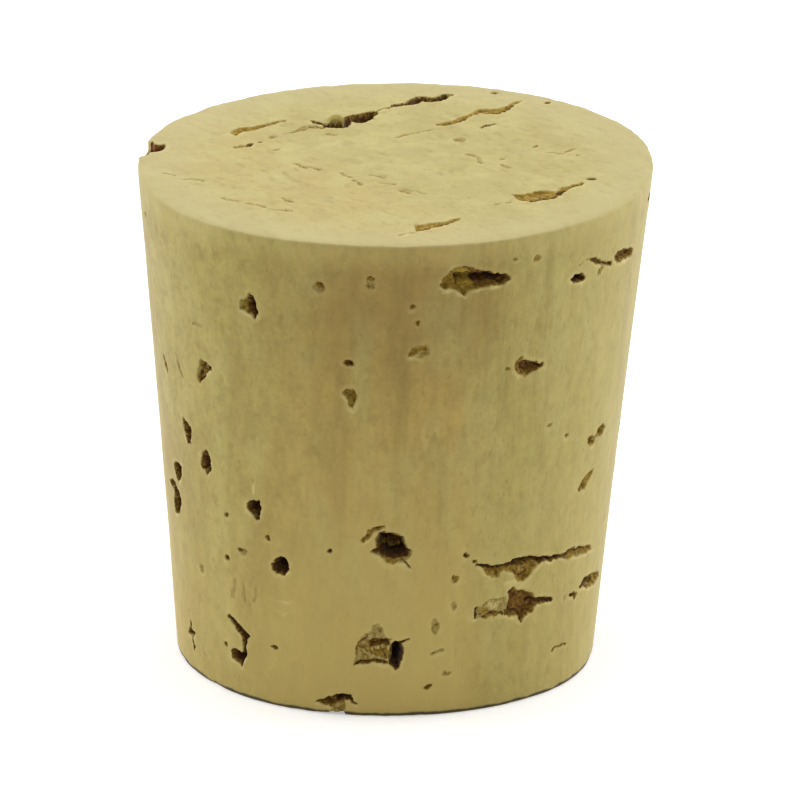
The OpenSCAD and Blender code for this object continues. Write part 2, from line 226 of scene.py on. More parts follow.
# On the side: kind, angle round the plug from the front towards +X, height, and
# outline along the girth and up. Three numbers to a point make a line with a width.
# A later entry is cut into an earlier one.
SIDE_PORES = [
    # between the left edge and the front, from the top down
    ("torn", -17, 36.4, oval(1.0, 1.0)),
    ("fleck", -17, 36.5, oval(0.6, 0.5)),
    ("ledge", -34, 34.0, [
        (-0.92, -0.46), (-0.92, 0.28), (-0.28, 0.64), (0.09, 1.1), (0.46, 0.46), (0.74, -0.64),
        (0.46, -1.1), (-0.09, -0.74)]),
    ("pore", -34, 34.0, [
        (-0.25, -0.2), (-0.2, 0.5), (0.1, 1.1), (0.45, 0.5), (0.75, -0.6), (0.5, -1.1),
        (0.15, -0.8)]),
    ("faint", -50.5, 31.0, oval(1.5, 0.5)),
    ("ledge", -49, 27.2, [
        (-0.9, -1), (-0.9, 0.1), (-0.4, 0.9), (0.4, 0.9), (0.9, 0.5), (0.3, 0), (0, -0.5),
        (-0.6, -1.1)]),
    ("crack", -49, 27.2, [(-0.7, -0.8, 0.25), (-0.5, 0.2, 0.3), (0.1, 0.8, 0.25)]),
    ("crack", -49, 27.2, [(-0.3, -0.6, 0.25), (0.2, 0.1, 0.4), (0.7, 0.5, 0.3)]),
    ("scar", -59.8, 26.7, [(-0.5, 0.7, 0.2), (-0.1, -0.2, 0.4), (0.3, -0.9, 0.2)]),
    ("fleck", -68.6, 25.7, [(-0.4, 0.6, 0.25), (0.1, 0, 0.6), (0.4, -0.5, 0.25)]),
    ("pore", -58, 21.2, [
        (-0.7, 0.1), (-0.6, 1), (0.1, 0.9), (0.5, 0.6), (0.5, -0.1), (0.3, -0.9), (-0.1, -1.1),
        (-0.4, -0.7)]),
    ("pore", -51, 19.4, [
        (-0.6, -0.4), (-0.4, 0.6), (0.2, 1.1), (0.6, 0.4), (0.6, -0.5), (0.1, -1.1),
        (-0.4, -0.8)]),
    ("fold", -51, 18.7, oval(0.5, 0.45)),
    ("channel", -65.5, 17.0, [
        (-0.98, 0.5), (-0.14, 0.88), (0.98, 0.75), (0.7, -0.12), (0, -1), (-0.56, -0.38)]),
    ("channel", -68, 14.4, [
        (-1.62, 1.1), (-0.94, 1.43), (0, 1.32), (0.68, 0.99), (1.08, 0.44), (0.94, -0.11),
        (0.41, -1.1), (-0.54, -1.43), (-0.81, -0.55), (-0.54, 0.44)]),
    ("pale", -35, 18.4, [(0.1, 0.8, 0.3), (-0.1, -0.3, 0.5)]),
    ("channel", -35, 16.8, [
        (-0.7, 0), (-0.5, 0.6), (0.6, 0.8), (0.6, 0.2), (0.4, -0.8), (0, -1), (-0.4, -0.4)]),
    ("fleck", -44.4, 15.5, oval(0.6, 0.45)),
    ("fleck", -31.5, 14.5, oval(0.4, 0.4)),
    ("fleck", -40.3, 12.9, oval(0.5, 0.4)),
    ("torn", -38.8, 12.8, oval(0.7, 0.8)),
    ("channel", -28, 12.4, [
        (-0.8, -0.1), (-0.4, 0.5), (0.1, 0.8), (0.7, 0.3), (0.8, -0.3), (0.4, -0.8),
        (-0.4, -0.8)]),
    ("fleck", -45, 11.8, oval(0.55, 0.5)),
    ("scar", -55.7, 9.8, oval(0.8, 0.8)),
    ("faint", -43.7, 9.2, [(0.3, 0.8, 0.5), (0.3, 0.2, 0.4), (0.1, -0.6, 0.5)]),
    ("faint", -43.7, 9.2, [(1.2, 0.8, 0.3), (1.25, -0.7, 0.3)]),
    ("faint", -43.7, 9.2, [(2.4, 0.9, 0.25), (2.2, -0.55, 0.25)]),
    ("dent", -27, 8.6, oval(3.6, 2.6, -10)),
    ("pale", -27, 8.6, [(-0.9, 0.7, 0.2), (0.1, 0.5, 0.5), (0.9, 0.8, 0.2)]),
    ("pale", -27, 8.6, [(-1.0, -0.2, 0.3), (-0.2, -0.5, 0.4), (0.7, -0.2, 0.2)]),
    # crack bent like an S
    ("pore", -42, 5.0, [
        (-0.95, 1.75, 0.45), (-0.47, 1.4, 0.55), (0.04, 1, 0.6), (0.6, 0.46, 0.7), (0.6, 0, 0.6),
        (0.42, -0.7, 0.4)]),
    ("pore", -42, 5.0, [
        (-0.9, -1.35), (-0.55, -1), (0.1, -0.95), (0.72, -0.66), (0.65, -1.26), (0.34, -1.8),
        (0.09, -2.4), (-0.16, -2.1), (-0.76, -1.9)]),
    ("fleck", -46.9, 4.15, oval(0.4, 0.5)),
    ("fleck", -30.8, 5.2, oval(0.65, 0.35)),
    ("crack", -64, 3.4, [
        (-0.05, 0.9, 0.2), (0.07, 0.4, 0.25), (0.18, -0.3, 0.28), (0.25, -1.35, 0.18)]),
    ("crack", -64, 3.4, [(-0.66, -0.31), (-0.1, 0.42), (0.77, 0.25), (0.3, -0.4)]),
    ("torn", -76, 37.3, oval(0.8, 0.6)),
    # the front's upper half
    ("fleck", -5.3, 37.2, oval(0.7, 0.55)),
    ("torn", -5.3, 36.8, oval(0.9, 0.8)),
    ("fleck", 4.1, 35.0, oval(0.5, 0.45)),
    ("fleck", 5.4, 33.7, oval(0.4, 0.45)),
    ("torn", 5.9, 31.2, [(-0.9, -0.2), (-0.4, 0.6), (0.6, 0.6), (0.9, 0), (0.2, -0.5)]),
    ("ledge", 5.9, 31.2, [(-0.65, -0.15, 0.4), (-0.2, 0.2, 0.5), (0.5, 0.1, 0.35)]),
    ("fleck", -10.3, 30.3, oval(0.75, 0.6)),
    ("stain", -12, 27, oval(2, 2.6)),
    ("ledge", -9.7, 27.3, [
        (-0.66, 0.52), (-0.14, 0.79), (0.35, 0.71), (0.56, 0.15), (0.39, -0.3), (0.21, -0.9),
        (-0.07, -0.6), (-0.21, 0)]),
    ("brown", -9.5, 27.2, [
        (-0.07, 0.49), (0.29, 0.49), (0.42, 0), (0.2, -0.42), (-0.03, -0.07)]),
    # long streak under the rim, right of the front
    ("brown", 18, 36.8, [
        (-2.65, -0.1), (-2.4, 0.6), (-1.8, 1.35), (-0.9, 1.3), (0.3, 0.95), (1.5, 0.57),
        (2.7, 0.25), (2.95, -0.15), (2.4, -0.5), (0.8, -0.5), (-0.2, -0.55), (-0.86, -1.15),
        (-1.5, -0.45), (-2.35, -0.5)]),
    ("pore", 18, 36.8, [
        (-1.9, 0.5), (-1.3, 0.8), (0.3, 0.55), (1.35, 0.4), (2.6, 0.2), (2.8, -0.2),
        (2.2, -0.36), (0.8, -0.3), (-0.4, -0.15), (-1.4, -0.05)]),
    ("fold", 18, 36.8, [(-1.3, 0.34, 0.2), (0.3, 0.18, 0.15)]),
    ("torn", 33, 38.0, oval(0.6, 0.5)),
    ("torn", 27.2, 38.2, oval(0.5, 0.35)),
    ("ledge", 32.5, 29.0, [
        (-1.3, 0), (-1.1, 0.7), (-0.6, 0.9), (-0.1, 0.4), (0.5, 0.3), (1.7, -0.3), (0.6, -0.4),
        (0, -0.9), (-0.7, -0.6)]),
    ("brown", 32.5, 29.0, [
        (-0.6, 0.25), (-0.2, 0.6), (0.6, 0.4), (1.6, -0.15), (0.8, -0.5), (0, -0.65),
        (-0.5, -0.3)]),
    ("crack", 32.5, 29.0, [(0.3, -0.05, 0.35), (1.4, -0.15, 0.3)]),
    ("fleck", 27, 29.2, oval(0.4, 0.35)),
    # right of the front, from the top down
    ("pore", 45, 35.4, [
        (-0.75, -0.05), (-0.2, 0.36), (0.55, 0.28), (0.9, -0.1), (0.5, -0.5), (-0.4, -0.35)]),
    ("scar", 52, 36.2, [(-2.2, 0.2, 0.15), (-1.9, 0.5, 0.15), (-1, 0.35, 0.2)]),
    ("fleck", 52, 36.2, [
        (-1, 0.35, 0.31), (-0.3, 0, 0.45), (0.7, -0.5, 0.28), (1.7, -0.8, 0.35)]),
    ("torn", 52, 36.2, [(0.5, -0.8, 0.5), (0.15, -1.2, 0.35)]),
    ("brown", 64, 35.2, [
        (-2, 0.57), (-1.4, 0.91), (0.25, 0.65), (1.7, 0.13), (1.5, -0.39), (0, -0.26),
        (-1.4, -0.13)]),
    ("pore", 81, 38.2, [(-0.8, 0.1), (0, 0.4), (0.8, 0.1), (0.5, -0.3), (-0.5, -0.3)]),
    ("scar", 40.8, 23.4, oval(0.6, 0.4)),
    ("scar", 46.7, 22.1, oval(0.6, 0.4)),
    ("ledge", 57.2, 20.6, oval(1.2, 0.9, -30)),
    ("fleck", 57.2, 20.6, oval(0.7, 0.5, -30)),
    ("ledge", 61, 20.9, [(-0.9, -0.3), (-0.5, 0.4), (0.5, 0.5), (1.2, 0.1), (0.3, -0.5)]),
    ("fleck", 61, 20.9, [(-0.5, 0, 0.4), (0.6, 0.1, 0.4)]),
    ("stain", 57, 17.0, oval(3.4, 2.6, 20)),
    ("ledge", 57, 17.1, [
        (-1.02, -0.4), (-0.77, 0.32), (-0.17, 0.64), (0.94, 0.88), (0.68, 0.32), (0.26, 0),
        (-0.17, -0.56)]),
    ("fleck", 57, 17.1, [(-0.9, -0.2, 0.5), (-0.3, 0.2, 0.4)]),
    ("fleck", 82, 18.6, oval(0.7, 0.6)),
    ("fleck", 82, 15.7, oval(0.5, 0.9)),
    ("faint", 72, 12.3, oval(0.8, 0.5)),
    # the largest hole, with a fold inside and an arched crack over it
    ("fleck", -14.7, 14.2, oval(0.5, 0.4)),
    ("ledge", 0.7, 14.8, [
        (-1.7, -0.5), (-1.2, -0.1), (-1.25, 0.6), (-1, 1.2), (-0.5, 1.3), (0.3, 1.2), (0.8, 1),
        (1, 0.4), (1.35, -0.1), (1.8, -0.35), (1.5, -0.8), (1.2, -1.25), (0.5, -1.4),
        (-0.25, -1.5), (-0.65, -1.15), (-0.95, -0.85)]),
    ("channel", 0.7, 14.8, [
        (-1.5, -0.47), (-1.05, -0.15), (-1.1, 0.5), (-0.9, 1.05), (-0.5, 1.15), (0.25, 1.05),
        (0.7, 0.85), (0.9, 0.4), (1.2, -0.2), (1.65, -0.37), (1.3, -0.62), (1.1, -1),
        (0.4, -1.1), (-0.3, -1.1), (-0.6, -0.9), (-0.9, -0.65)]),
    ("fold", 0.7, 14.8, [(-0.75, -0.3, 0.35), (0.1, -0.2, 0.4), (0.75, -0.3, 0.3)]),
    ("pale", 0.7, 14.8, [(-1.6, 0.7, 0.4), (-1.3, 1.1, 0.5), (-0.9, 1.3, 0.2)]),
    ("ledge", 0.7, 14.8, [
        (-2.15, 0.6, 0.4), (-1.9, 0.9, 0.4), (-1.7, 1.35, 0.4), (-1.35, 1.5, 0.4),
        (-0.9, 1.55, 0.35), (-0.65, 1.7, 0.25)]),
    ("ledge", 0.7, 14.8, [(1, -1.15, 0.25), (1.25, -1.55, 0.22), (1.35, -1.9, 0.16)]),
    # small marks under it
    ("fleck", 16.8, 11.9, oval(0.6, 0.4)),
    ("torn", 16.8, 11.7, oval(0.8, 0.7)),
    ("scar", 17.1, 9.4, oval(0.4, 0.8, 5)),
    ("torn", 12.7, 7.8, oval(0.75, 1.4, 5)),
    ("scar", 13.5, 5.5, [(-0.4, -0.2, 0.25), (0.4, 0.2, 0.25)]),
    ("fleck", 11.3, 2.4, oval(0.65, 0.35, 20)),
    ("scar", 16.1, 3.6, oval(0.6, 0.4)),
    # rough patch beside the deep pore near the foot, with cuts across it
    ("torn", -3, 5.8, [
        (-1.6, -1.2), (-1.35, 0.6), (-0.8, 1.6), (-0.2, 1.7), (-0.15, 2.2), (0.25, 2.35),
        (0.65, 1.9), (0.75, 1.4), (1.3, 1.15), (1.05, 0.25), (1, -1)]),
    ("torn", -3, 5.8, [(-0.1, 1.9, 0.5), (0.2, 1.7, 0.6), (0.6, 1.2, 0.4)]),
    ("brown", -3, 5.8, [
        (-0.6, 0.55), (-0.3, 0.95), (1.05, 1.1), (1.1, 0.45), (0.3, 0.35), (-0.4, 0.25)]),
    ("ledge", -3, 5.8, [(0.3, 0.2), (1, 0.3), (1, -0.8), (0.4, -0.7), (-0.2, -0.2)]),
    ("hatch", -3, 5.8, [
        (-1.5, -0.6, 0.12), (-1.3, 0.6, 0.16), (-0.8, 1, 0.22), (-0.5, 1.5, 0.14)]),
    ("hatch", -3, 5.8, [(-1.25, 0.4, 0.2), (-0.55, -0.1, 0.15)]),
    ("hatch", -3, 5.8, [(-1.15, -0.1, 0.15), (-0.5, -0.65, 0.18)]),
    ("hatch", -3, 5.8, [(-0.45, 0.1, 0.18), (0.1, -0.5, 0.15)]),
    ("hatch", -3, 5.8, [(-0.05, 0.1, 0.15), (0.55, -0.6, 0.18)]),
    ("hatch", -3, 5.8, [(0.4, 0.2, 0.18), (0.8, -0.5, 0.15)]),
    ("crack", -3, 5.8, [
        (-1.55, -1.3, 0.16), (-1, -1.1, 0.2), (-0.1, -0.95, 0.24), (1, -1.02, 0.2)]),
    ("channel", 2.7, 5.4, [
        (-0.65, 0.5), (-0.5, 1), (-0.15, 1.3), (0.3, 1.05), (0.6, 0.35), (0.45, -0.4),
        (0.2, -1.1), (-0.16, -1.25), (-0.5, -0.75), (-0.7, -0.1)]),
    ("fold", 2.7, 5.4, [(-0.35, 0.9, 0.3), (-0.5, 0.3, 0.35), (-0.45, -0.3, 0.25)]),
    ("crack", 2.7, 5.4, [(0, 1.1, 0.25), (0.3, 1.22, 0.22), (0.85, 1.4, 0.18)]),
    # long ragged crack in three stretches
    ("fleck", 19.7, 13.7, oval(0.55, 0.4, -30)),
    ("fleck", 21.8, 13.1, oval(0.5, 0.35)),
    ("ledge", 37, 12.0, [
        (-4.15, 0.8), (-3.35, 0.6), (-2.3, 0.5), (-1.25, 0.7), (0.1, 0.7), (1.6, 0.25), (2.9, 0),
        (3.9, -0.24), (3.95, -0.7), (2.75, -0.5), (1.4, -0.3), (0.65, -0.85), (-0.1, -1.55),
        (-0.8, -1.45), (-1.15, -0.5), (-2.2, -0.2), (-2.4, -0.6), (-3.1, -0.55), (-3.7, 0)]),
    ("crack", 37, 12.0, [
        (-4.3, 0.74, 0.3), (-3.36, 0.43, 0.46), (-2.3, 0.2, 0.4), (-1.2, 0.3, 0.6)]),
    ("pore", 37, 12.0, [
        (-1.9, 0.2, 0.3), (-1.2, 0.33, 0.6), (-0.05, 0.2, 0.75), (1.2, 0, 0.55),
        (2.3, -0.16, 0.4), (3.7, -0.48, 0.3)]),
    ("fleck", 37, 12.0, [(-0.9, -0.55, 0.3), (-0.4, -1.1, 0.35), (0.2, -0.7, 0.25)]),
    ("fold", 37, 12.0, [(-0.6, 0.1, 0.15), (0.8, -0.1, 0.18), (1.4, -0.15, 0.1)]),
    ("ledge", 56, 11.5, [
        (-2.1, 0.27), (-0.9, 0.47), (1.6, -0.14), (2.3, -0.88), (1, -0.81), (-0.5, -0.47),
        (-1.6, -0.41)]),
    ("crack", 56, 11.5, [
        (-1.6, -0.15, 0.35), (-0.8, 0.05, 0.25), (0.5, -0.05, 0.18), (1.8, -0.3, 0.16)]),
    # wide brown pore under it
    ("pale", 35, 10.4, [(-1.6, 0.5), (1.4, 0.6), (1.2, -0.6), (-1.2, -0.6)]),
    ("torn", 27, 8.8, [
        (-1.1, 0.3), (0.1, 0.9), (1.5, 0.7), (1.5, -0.6), (0.2, -0.7), (-0.85, -0.8),
        (-1.3, -0.7)]),
    ("pale", 27, 8.8, [
        (-0.9, 0), (0.1, 0.7), (1.4, 0.6), (1.3, -0.3), (0.1, -0.4), (-0.8, -0.5)]),
    ("crack", 27, 8.8, [(-1.1, 0.15, 0.25), (-1.26, -0.6, 0.25)]),
    ("fleck", 27, 8.8, [(-0.6, -0.8, 0.22), (0.15, -0.6, 0.4), (1.1, -0.7, 0.25)]),
    ("brown", 37, 8.8, [
        (-1.6, 1.2), (-1.3, 1.4), (-0.6, 1), (0.85, 0.6), (1.1, 0), (2.6, -0.45), (2.75, -0.75),
        (1.2, -0.65), (0.8, -1.15), (0.25, -1.35), (-0.1, -1.8), (-0.5, -1.25), (-1.35, -1.1),
        (-1.6, -0.5), (-1.45, 0.1), (-1.3, 0.6)]),
    ("crack", 37, 8.8, [(-1.55, -0.65, 0.4), (-0.45, -0.9, 0.4)]),
    ("crack", 37, 8.8, [(0.7, -0.28, 0.5), (1.6, -0.4, 0.38), (2.7, -0.62, 0.2)]),
    ("fleck", 56, 7.5, oval(0.5, 0.5)),
    ("crack", 56, 7.5, [(-0.55, 0.2, 0.4), (-0.2, 0.3, 0.35)]),
    ("scar", 56, 7.5, [(-1.5, 0.4, 0.3), (-1.4, 0.1, 0.25)]),
    ("ledge", 65, 7.5, [
        (-2.1, 0.68), (-1.4, 1.08), (0.1, 0.88), (2.1, 0.27), (2.6, -0.41), (0.8, -0.41),
        (-0.9, 0)]),
    ("crack", 65, 7.5, [(-2, 0.5, 0.34), (-0.95, 0.37, 0.5), (0.7, 0.05, 0.3)]),
    ("fleck", 50.5, 3.6, [(-0.7, 0, 0.25), (-0.3, 0.15, 0.15), (0.2, 0, 0.15), (1, 0.05, 0.15)]),
    # long pore over the chipped edge, open to the edge below
    ("brown", -12, 1.2, [
        (-2, -0.15), (-1.3, 0.2), (-0.5, 0.5), (-0.45, -0.25), (-0.85, -0.5), (-1.65, -0.35)]),
    ("torn", -12, 1.2, [
        (-0.65, -0.1), (0.35, 0.1), (0.3, -0.9), (-0.3, -1.1), (-0.95, -1.1), (-0.8, -0.4)]),
    ("ledge", -12, 1.2, [(-0.6, -0.1), (0.35, 0.05), (0.3, -0.25), (-0.6, -0.35)]),
    ("pore", -12, 1.2, [
        (-0.57, 0.33), (-0.3, 0.66), (0.4, 0.7), (0.85, 0.54), (0.8, 0.15), (0.5, 0.05),
        (0.05, 0.01), (-0.4, -0.1)]),
    ("crack", -12, 1.2, [(0.8, 0.2, 0.35), (1, -0.1, 0.25), (1.2, -0.15, 0.2)]),
    ("chip", -14, 0.2, [(-2.8, -0.3), (2, -0.3), (2, 0.6), (-2.8, 0.6)]),
    ("chip", -99, 39.2, [(-2.4, -1.4), (2.2, -1.4), (2.2, 0.9), (-2.4, 0.9)]),
    # nicks at the right edge
    ("crack", 88, 36.6, [(-0.4, 0.6, 0.2), (0.1, -0.5, 0.4)]),
    ("ledge", 86, 19.2, [(-0.3, 0.5, 0.25), (0.2, -0.4, 0.4)]),
    # shallow dents up the side, and stains
    ("stain", 26, 24, [(0.6, 9, 0.8), (0, 3, 1.6), (-0.4, -2, 1.4), (-0.8, -9, 1)]),
    ("stain", 8, 36.5, oval(7, 4.5)),
    ("stain", 4, 30, [(0.6, 4, 1.2), (0, 0, 1.8), (-0.5, -5, 1)]),
    ("stain", -13, 20, [(1, 7, 1), (0, 2, 2), (0.4, -3, 1.4)]),
    ("stain", -36, 24, [(0.5, 6, 1), (0, 0, 1.6), (-0.6, -4, 1)]),
    ("stain", 43, 18, [(0.3, 6, 1), (0.1, 1, 1.4), (-0.6, -4, 1)]),
    ("dent", 24.5, 27, [(-0.3, 6, 0.3), (0, 2, 0.6), (-0.3, -1, 0.5), (-0.6, -5, 0.3)]),
    ("dent", -40, 9, [(0, 1.5, 0.3), (0.1, -1.5, 0.5)]),
    ("dent", -9.5, 24, [(0.2, 1.4, 0.6), (-0.8, -1, 0.8), (-1.2, -4, 0.4)]),
    # the sides turned away
    ("crack", -109, 23.2, ROUND),
    ("torn", -121, 16.8, THIN),
    ("pore", -116, 10.8, DROP),
    ("crack", -128, 7.2, THIN),
    ("ledge", -145, 24.2, STREAK),
    ("crack", -145, 24.0, [(-1.9, 0.1, 0.3), (-0.3, 0.2, 0.7), (1.9, 0, 0.3)]),
    ("torn", -150, 31.6, THIN),
    ("brown", -158, 13.2, STREAK),
    ("crack", -158, 13.2, [(-0.9, 0.1, 0.35), (0.6, 0, 0.5), (2, 0, 0.2)]),
    ("crack", -172, 34.0, THIN),
    ("pore", 176, 5.6, DROP),
    ("ledge", 151, 15.2, oval(2, 2.1)),
    ("pore", 151, 15.2, ROUND),
    ("pore", 138, 28.4, DROP),
    ("pore", 131, 5.2, ROUND),
    ("ledge", 124, 20.8, oval(2.1, 2, 20)),
    ("channel", 124, 20.8, ROUND),
    ("fold", 124, 20.8, [(-0.4, 0, 0.2), (0.4, 0.1, 0.25)]),
    ("pore", 113, 13.2, TWIN),
    ("pore", 103, 30.4, ROUND),
]

# On the large end: kind, place from the middle, and outline.
TOP_PORES = [
    # longest crack: a fuzzy thin arm, a bend round a knot, a dark body and a zigzag
    ("scar", -5.1, 8.9, [
        (-3.55, -2.4, 0.26), (-2.4, -1.3, 0.45), (-1.9, -0.6, 0.7), (-1.4, -0.3, 1),
        (-0.8, -0.7, 0.7)]),
    ("pore", -5.1, 8.9, [
        (-1.5, 0.95, 0.35), (-1, 0.6, 0.5), (-0.5, 0.1, 0.65), (-0.1, -0.1, 1.3),
        (0.4, -0.2, 1.4), (0.85, 0, 1.3), (1.15, 0.4, 0.7), (1.25, 1.3, 0.6)]),
    ("scar", -5.1, 8.9, [(-0.4, -2.1, 0.26), (0.4, -2.2, 0.26)]),
    ("pore", -2.9, 10.9, [
        (-1.3, 0), (-0.6, 0.7), (0, 1), (0.6, 1.4), (1.2, 1.7), (1.5, 1), (1.15, -0.45),
        (0.5, -1.15), (-0.25, -1.25), (-1.2, -1.2)]),
    # a pale line under the crack's body: painted highlight on its lower lip
    ("pale", -2.9, 10.9, [(-0.9, -1.65, 0.35), (0.4, -1.5, 0.3)]),
    ("crack", 1.6, 14.9, [(-3.25, -3, 0.2), (-2.75, -2.1, 0.2), (-1.75, -1.2, 0.16)]),
    ("crack", 1.6, 14.9, [
        (-1.6, -1, 0.8), (-0.95, -0.75, 0.9), (-0.35, -0.3, 0.95), (0.05, 0.3, 1.1),
        (0.45, 0.75, 1.15), (0.8, 0.7, 1.1), (1.15, 0.35, 1.1), (1.5, 0.4, 1.05), (2, 0.85, 1),
        (2.4, 1.45, 0.8), (2.9, 1.65, 0.5)]),
    ("chip", -4.7, 10.3, oval(2, 2.2)),
    # streak to its left
    ("stain", -10.4, 8.4, [(-3, -2, 1.5), (2.5, 2, 1.5)]),
    ("orange", -10.4, 8.4, [
        (-2.3, -1.6), (-1.9, -0.3), (-0.5, 0.1), (0.45, 0.95), (1.6, 1.75), (1.9, 1.4),
        (0.65, 0.1), (-0.3, -0.65), (-1.3, -1.25), (-1.85, -2.4)]),
    ("fleck", -10.4, 8.4, [(-1.7, -0.65, 0.2), (-0.5, -0.1, 0.16), (1.8, 1.6, 0.14)]),
    ("crack", -11.35, 3.9, oval(0.55, 1.1, -30)),
    ("torn", -11.9, 3.7, oval(0.6, 0.9)),
    ("scar", -12.3, 3.4, oval(0.8, 0.6)),
    ("fleck", -10.4, 4.7, oval(0.4, 0.5)),
    ("scar", -9.5, 5.9, oval(0.6, 0.9)),
    # faint start of the crack to its right
    ("scar", 1.6, 6.7, [(-1.5, -0.9, 0.45), (-0.5, 0.1, 0.23), (1.3, 1.1, 0.23)]),
    ("orange", 6, 11, [
        (-2.65, -2.1, 0.43), (-2.1, -1.7, 0.58), (-1.3, -1.2, 0.8), (-0.3, 0.2, 0.58),
        (0.7, 1.5, 0.72), (1.7, 1.2, 1.09), (2.6, 1.8, 0.87), (3.3, 3.2, 0.36), (4, 3.9, 0.23)]),
    ("crack", 6, 11, [(-2.6, -2.1, 0.4), (-1.2, -1.45, 0.5), (-0.2, 0.1, 0.3)]),
    ("crack", 6, 11, [(0.9, 0.9, 0.36), (1.9, 0.75, 0.6), (2.7, 1.7, 0.6), (3.2, 2.8, 0.24)]),
    ("fleck", 6, 8, [(0.75, 0.25, 0.35), (1.1, 0.7, 0.4), (1.65, 1.2, 0.16)]),
    # orange crack towards the right edge, dark along its near side
    ("orange", 11.4, -7.8, [
        (-2.5, 0.1), (-1.85, 0.1), (-0.9, 0.7), (0.1, 1), (0.85, 0.7), (1.1, 1.6), (2, 2.2),
        (2.85, 3.1), (2.95, 2.4), (2, 1.4), (1.25, 0.6), (0.8, -0.8), (0, -1.2), (-1.1, -1.8),
        (-2.1, -1.4)]),
    ("crack", 11.4, -7.8, [
        (-1.2, -1.35, 0.2), (0.05, -0.5, 0.62), (0.85, -0.1, 0.56), (1.25, 1, 0.38),
        (2, 1.75, 0.38), (2.85, 2.7, 0.28)]),
    ("scar", 11.4, -7.8, [(-3.8, -2.4, 0.2), (-2.6, -1.7, 0.2)]),
    ("fleck", 15, -4.15, oval(0.7, 0.7)),
    # crack at the front edge
    ("orange", 2.6, -15.6, [
        (-1.2, 0.6), (-0.55, 0.65), (0.2, 1.05), (1.15, 1.35), (2.4, 2.4), (2.3, 1.8),
        (1.15, 0.5), (0, -0.5), (-0.95, -1), (-1.2, -0.2)]),
    ("fleck", 2.6, -15.6, [(-0.75, -0.4, 0.15), (0.1, 0.05, 0.35), (1.9, 1.5, 0.16)]),
    ("scar", 2.6, -15.6, [(-2.3, -1.9, 0.21), (-1.2, -1.1, 0.26)]),
    # dots
    ("scar", 7.8, 17.0, oval(0.8, 0.7)),
    ("fleck", 12.05, 14.4, oval(0.6, 0.7)),
    ("fleck", 10.8, 3.6, oval(0.4, 0.6)),
    ("scar", 5.0, 5.3, oval(0.9, 0.9)),
    ("scar", 8.3, 0.6, oval(0.5, 0.4)),
    ("scar", 14.2, 1.6, oval(0.4, 0.5)),
    ("scar", -9.2, 2.9, oval(0.5, 0.5)),
    # slot in the chipped rim
    ("chip", -18.9, 3.5, [(-1.4, -2.6), (1.4, -2.6), (1.4, 2.3), (-1.4, 2.3)]),
    ("pale", -18.9, 2.5, [(-0.8, 0.2), (0.7, 0.3), (0.6, -0.3), (-0.9, -0.4)]),
    ("rusty", -18.9, 3.6, [
        (-1.6, -1.25), (-1.6, 1.05), (0.1, 1.3), (0.3, 0.45), (0.75, 0.4), (0.95, 0.9),
        (1.05, 0), (0.7, -1.2), (0, -1.35)]),
    ("pore", -18.9, 3.6, [
        (-1.6, -0.95, 0.55), (0.1, -0.85, 0.55), (0.7, -0.5, 0.45), (0.95, 0.3, 0.25)]),
]

# Short dashes on the large end, along the layers of growth: place, and a line's points
DASHES = [
    (5.8, 1.3, (-0.3, 0.4, 0.45), (0.7, -0.45, 0.33)),
    (6.5, 0.2, (0, 0.5, 0.26), (0.1, -0.7, 0.33)),
    (8.5, -1.0, (-0.3, 0.3, 0.33), (0.35, -0.4, 0.39)),
    (12.2, 2.0, (-0.6, 0.3, 0.21), (0.6, -0.3, 0.26)),
    (13.6, 2.6, (-0.7, -0.8, 0.21), (0.1, 0.4, 0.39)),
    (0.7, -7.3, (-0.4, 0.3, 0.26), (0.4, -0.3, 0.33)),
    (2.0, -7.4, (-0.3, 0.4, 0.26), (0.2, -0.4, 0.26)),
    (-7.5, -1.0, (-0.4, 0.5, 0.26), (0.5, -0.5, 0.39)),
    (-6.3, -1.5, (-0.5, 0.3, 0.26), (0.5, -0.5, 0.39)),
    (-17.3, -3.1, (-0.4, 0.3, 0.39), (0.4, -0.2, 0.26)),
    (-15.3, -4.4, (-0.8, 0.3, 0.26), (0, 0.1, 0.39), (0.8, -0.3, 0.26)),
    (-12.4, -9.1, (-0.6, 0.6, 0.26), (0.2, 0, 0.39), (0.9, -0.3, 0.26)),
    (-10.4, -10.1, (-0.5, 0.4, 0.39), (0.6, -0.4, 0.26)),
    (-8.6, -11.3, (-0.9, 0.4, 0.26), (0.7, -0.2, 0.39)),
    (-8.1, -9.0, (-0.5, 0.5, 0.26), (0.4, -0.5, 0.39)),
    (-3.8, -3.3, (-0.4, 0.5, 0.39), (0.4, -0.5, 0.26)),
    (-3.0, -4.9, (-0.3, 0.5, 0.33), (0.4, -0.6, 0.39)),
    (-1.5, -3.6, (-0.4, 0.5, 0.26), (0.6, -0.4, 0.33)),
    (-0.5, -5.0, (-0.8, -0.2, 0.26), (0.5, -0.4, 0.33)),
    (1.0, -6.4, (-0.5, -0.5, 0.26), (0.6, -0.5, 0.33)),
]
TOP_PORES += [("scar", x, y, line) for x, y, *line in DASHES]

# On the small end, seen from above.
BASE_PORES = [
    ("crack", -7.1, 5.6, [
        (-2.6, -1.9), (-1.2, -0.9), (0.4, -0.3), (2.4, 1.8), (2, 2), (0.6, 0.5), (-0.9, -0.3)]),
    ("crack", 4.8, -6.9, [
        (-3, -2.3), (-1.5, -1.6), (-0.2, -0.5), (1.4, 0.3), (2.9, 2.1), (1.2, 1), (-1.4, -0.6)]),
    ("crack", 6.8, 6.1, [
        (-1.2, -0.9), (-0.4, -0.8), (0.6, 0.2), (1.1, 0.9), (0.2, 0.5), (-0.8, -0.2)]),
]


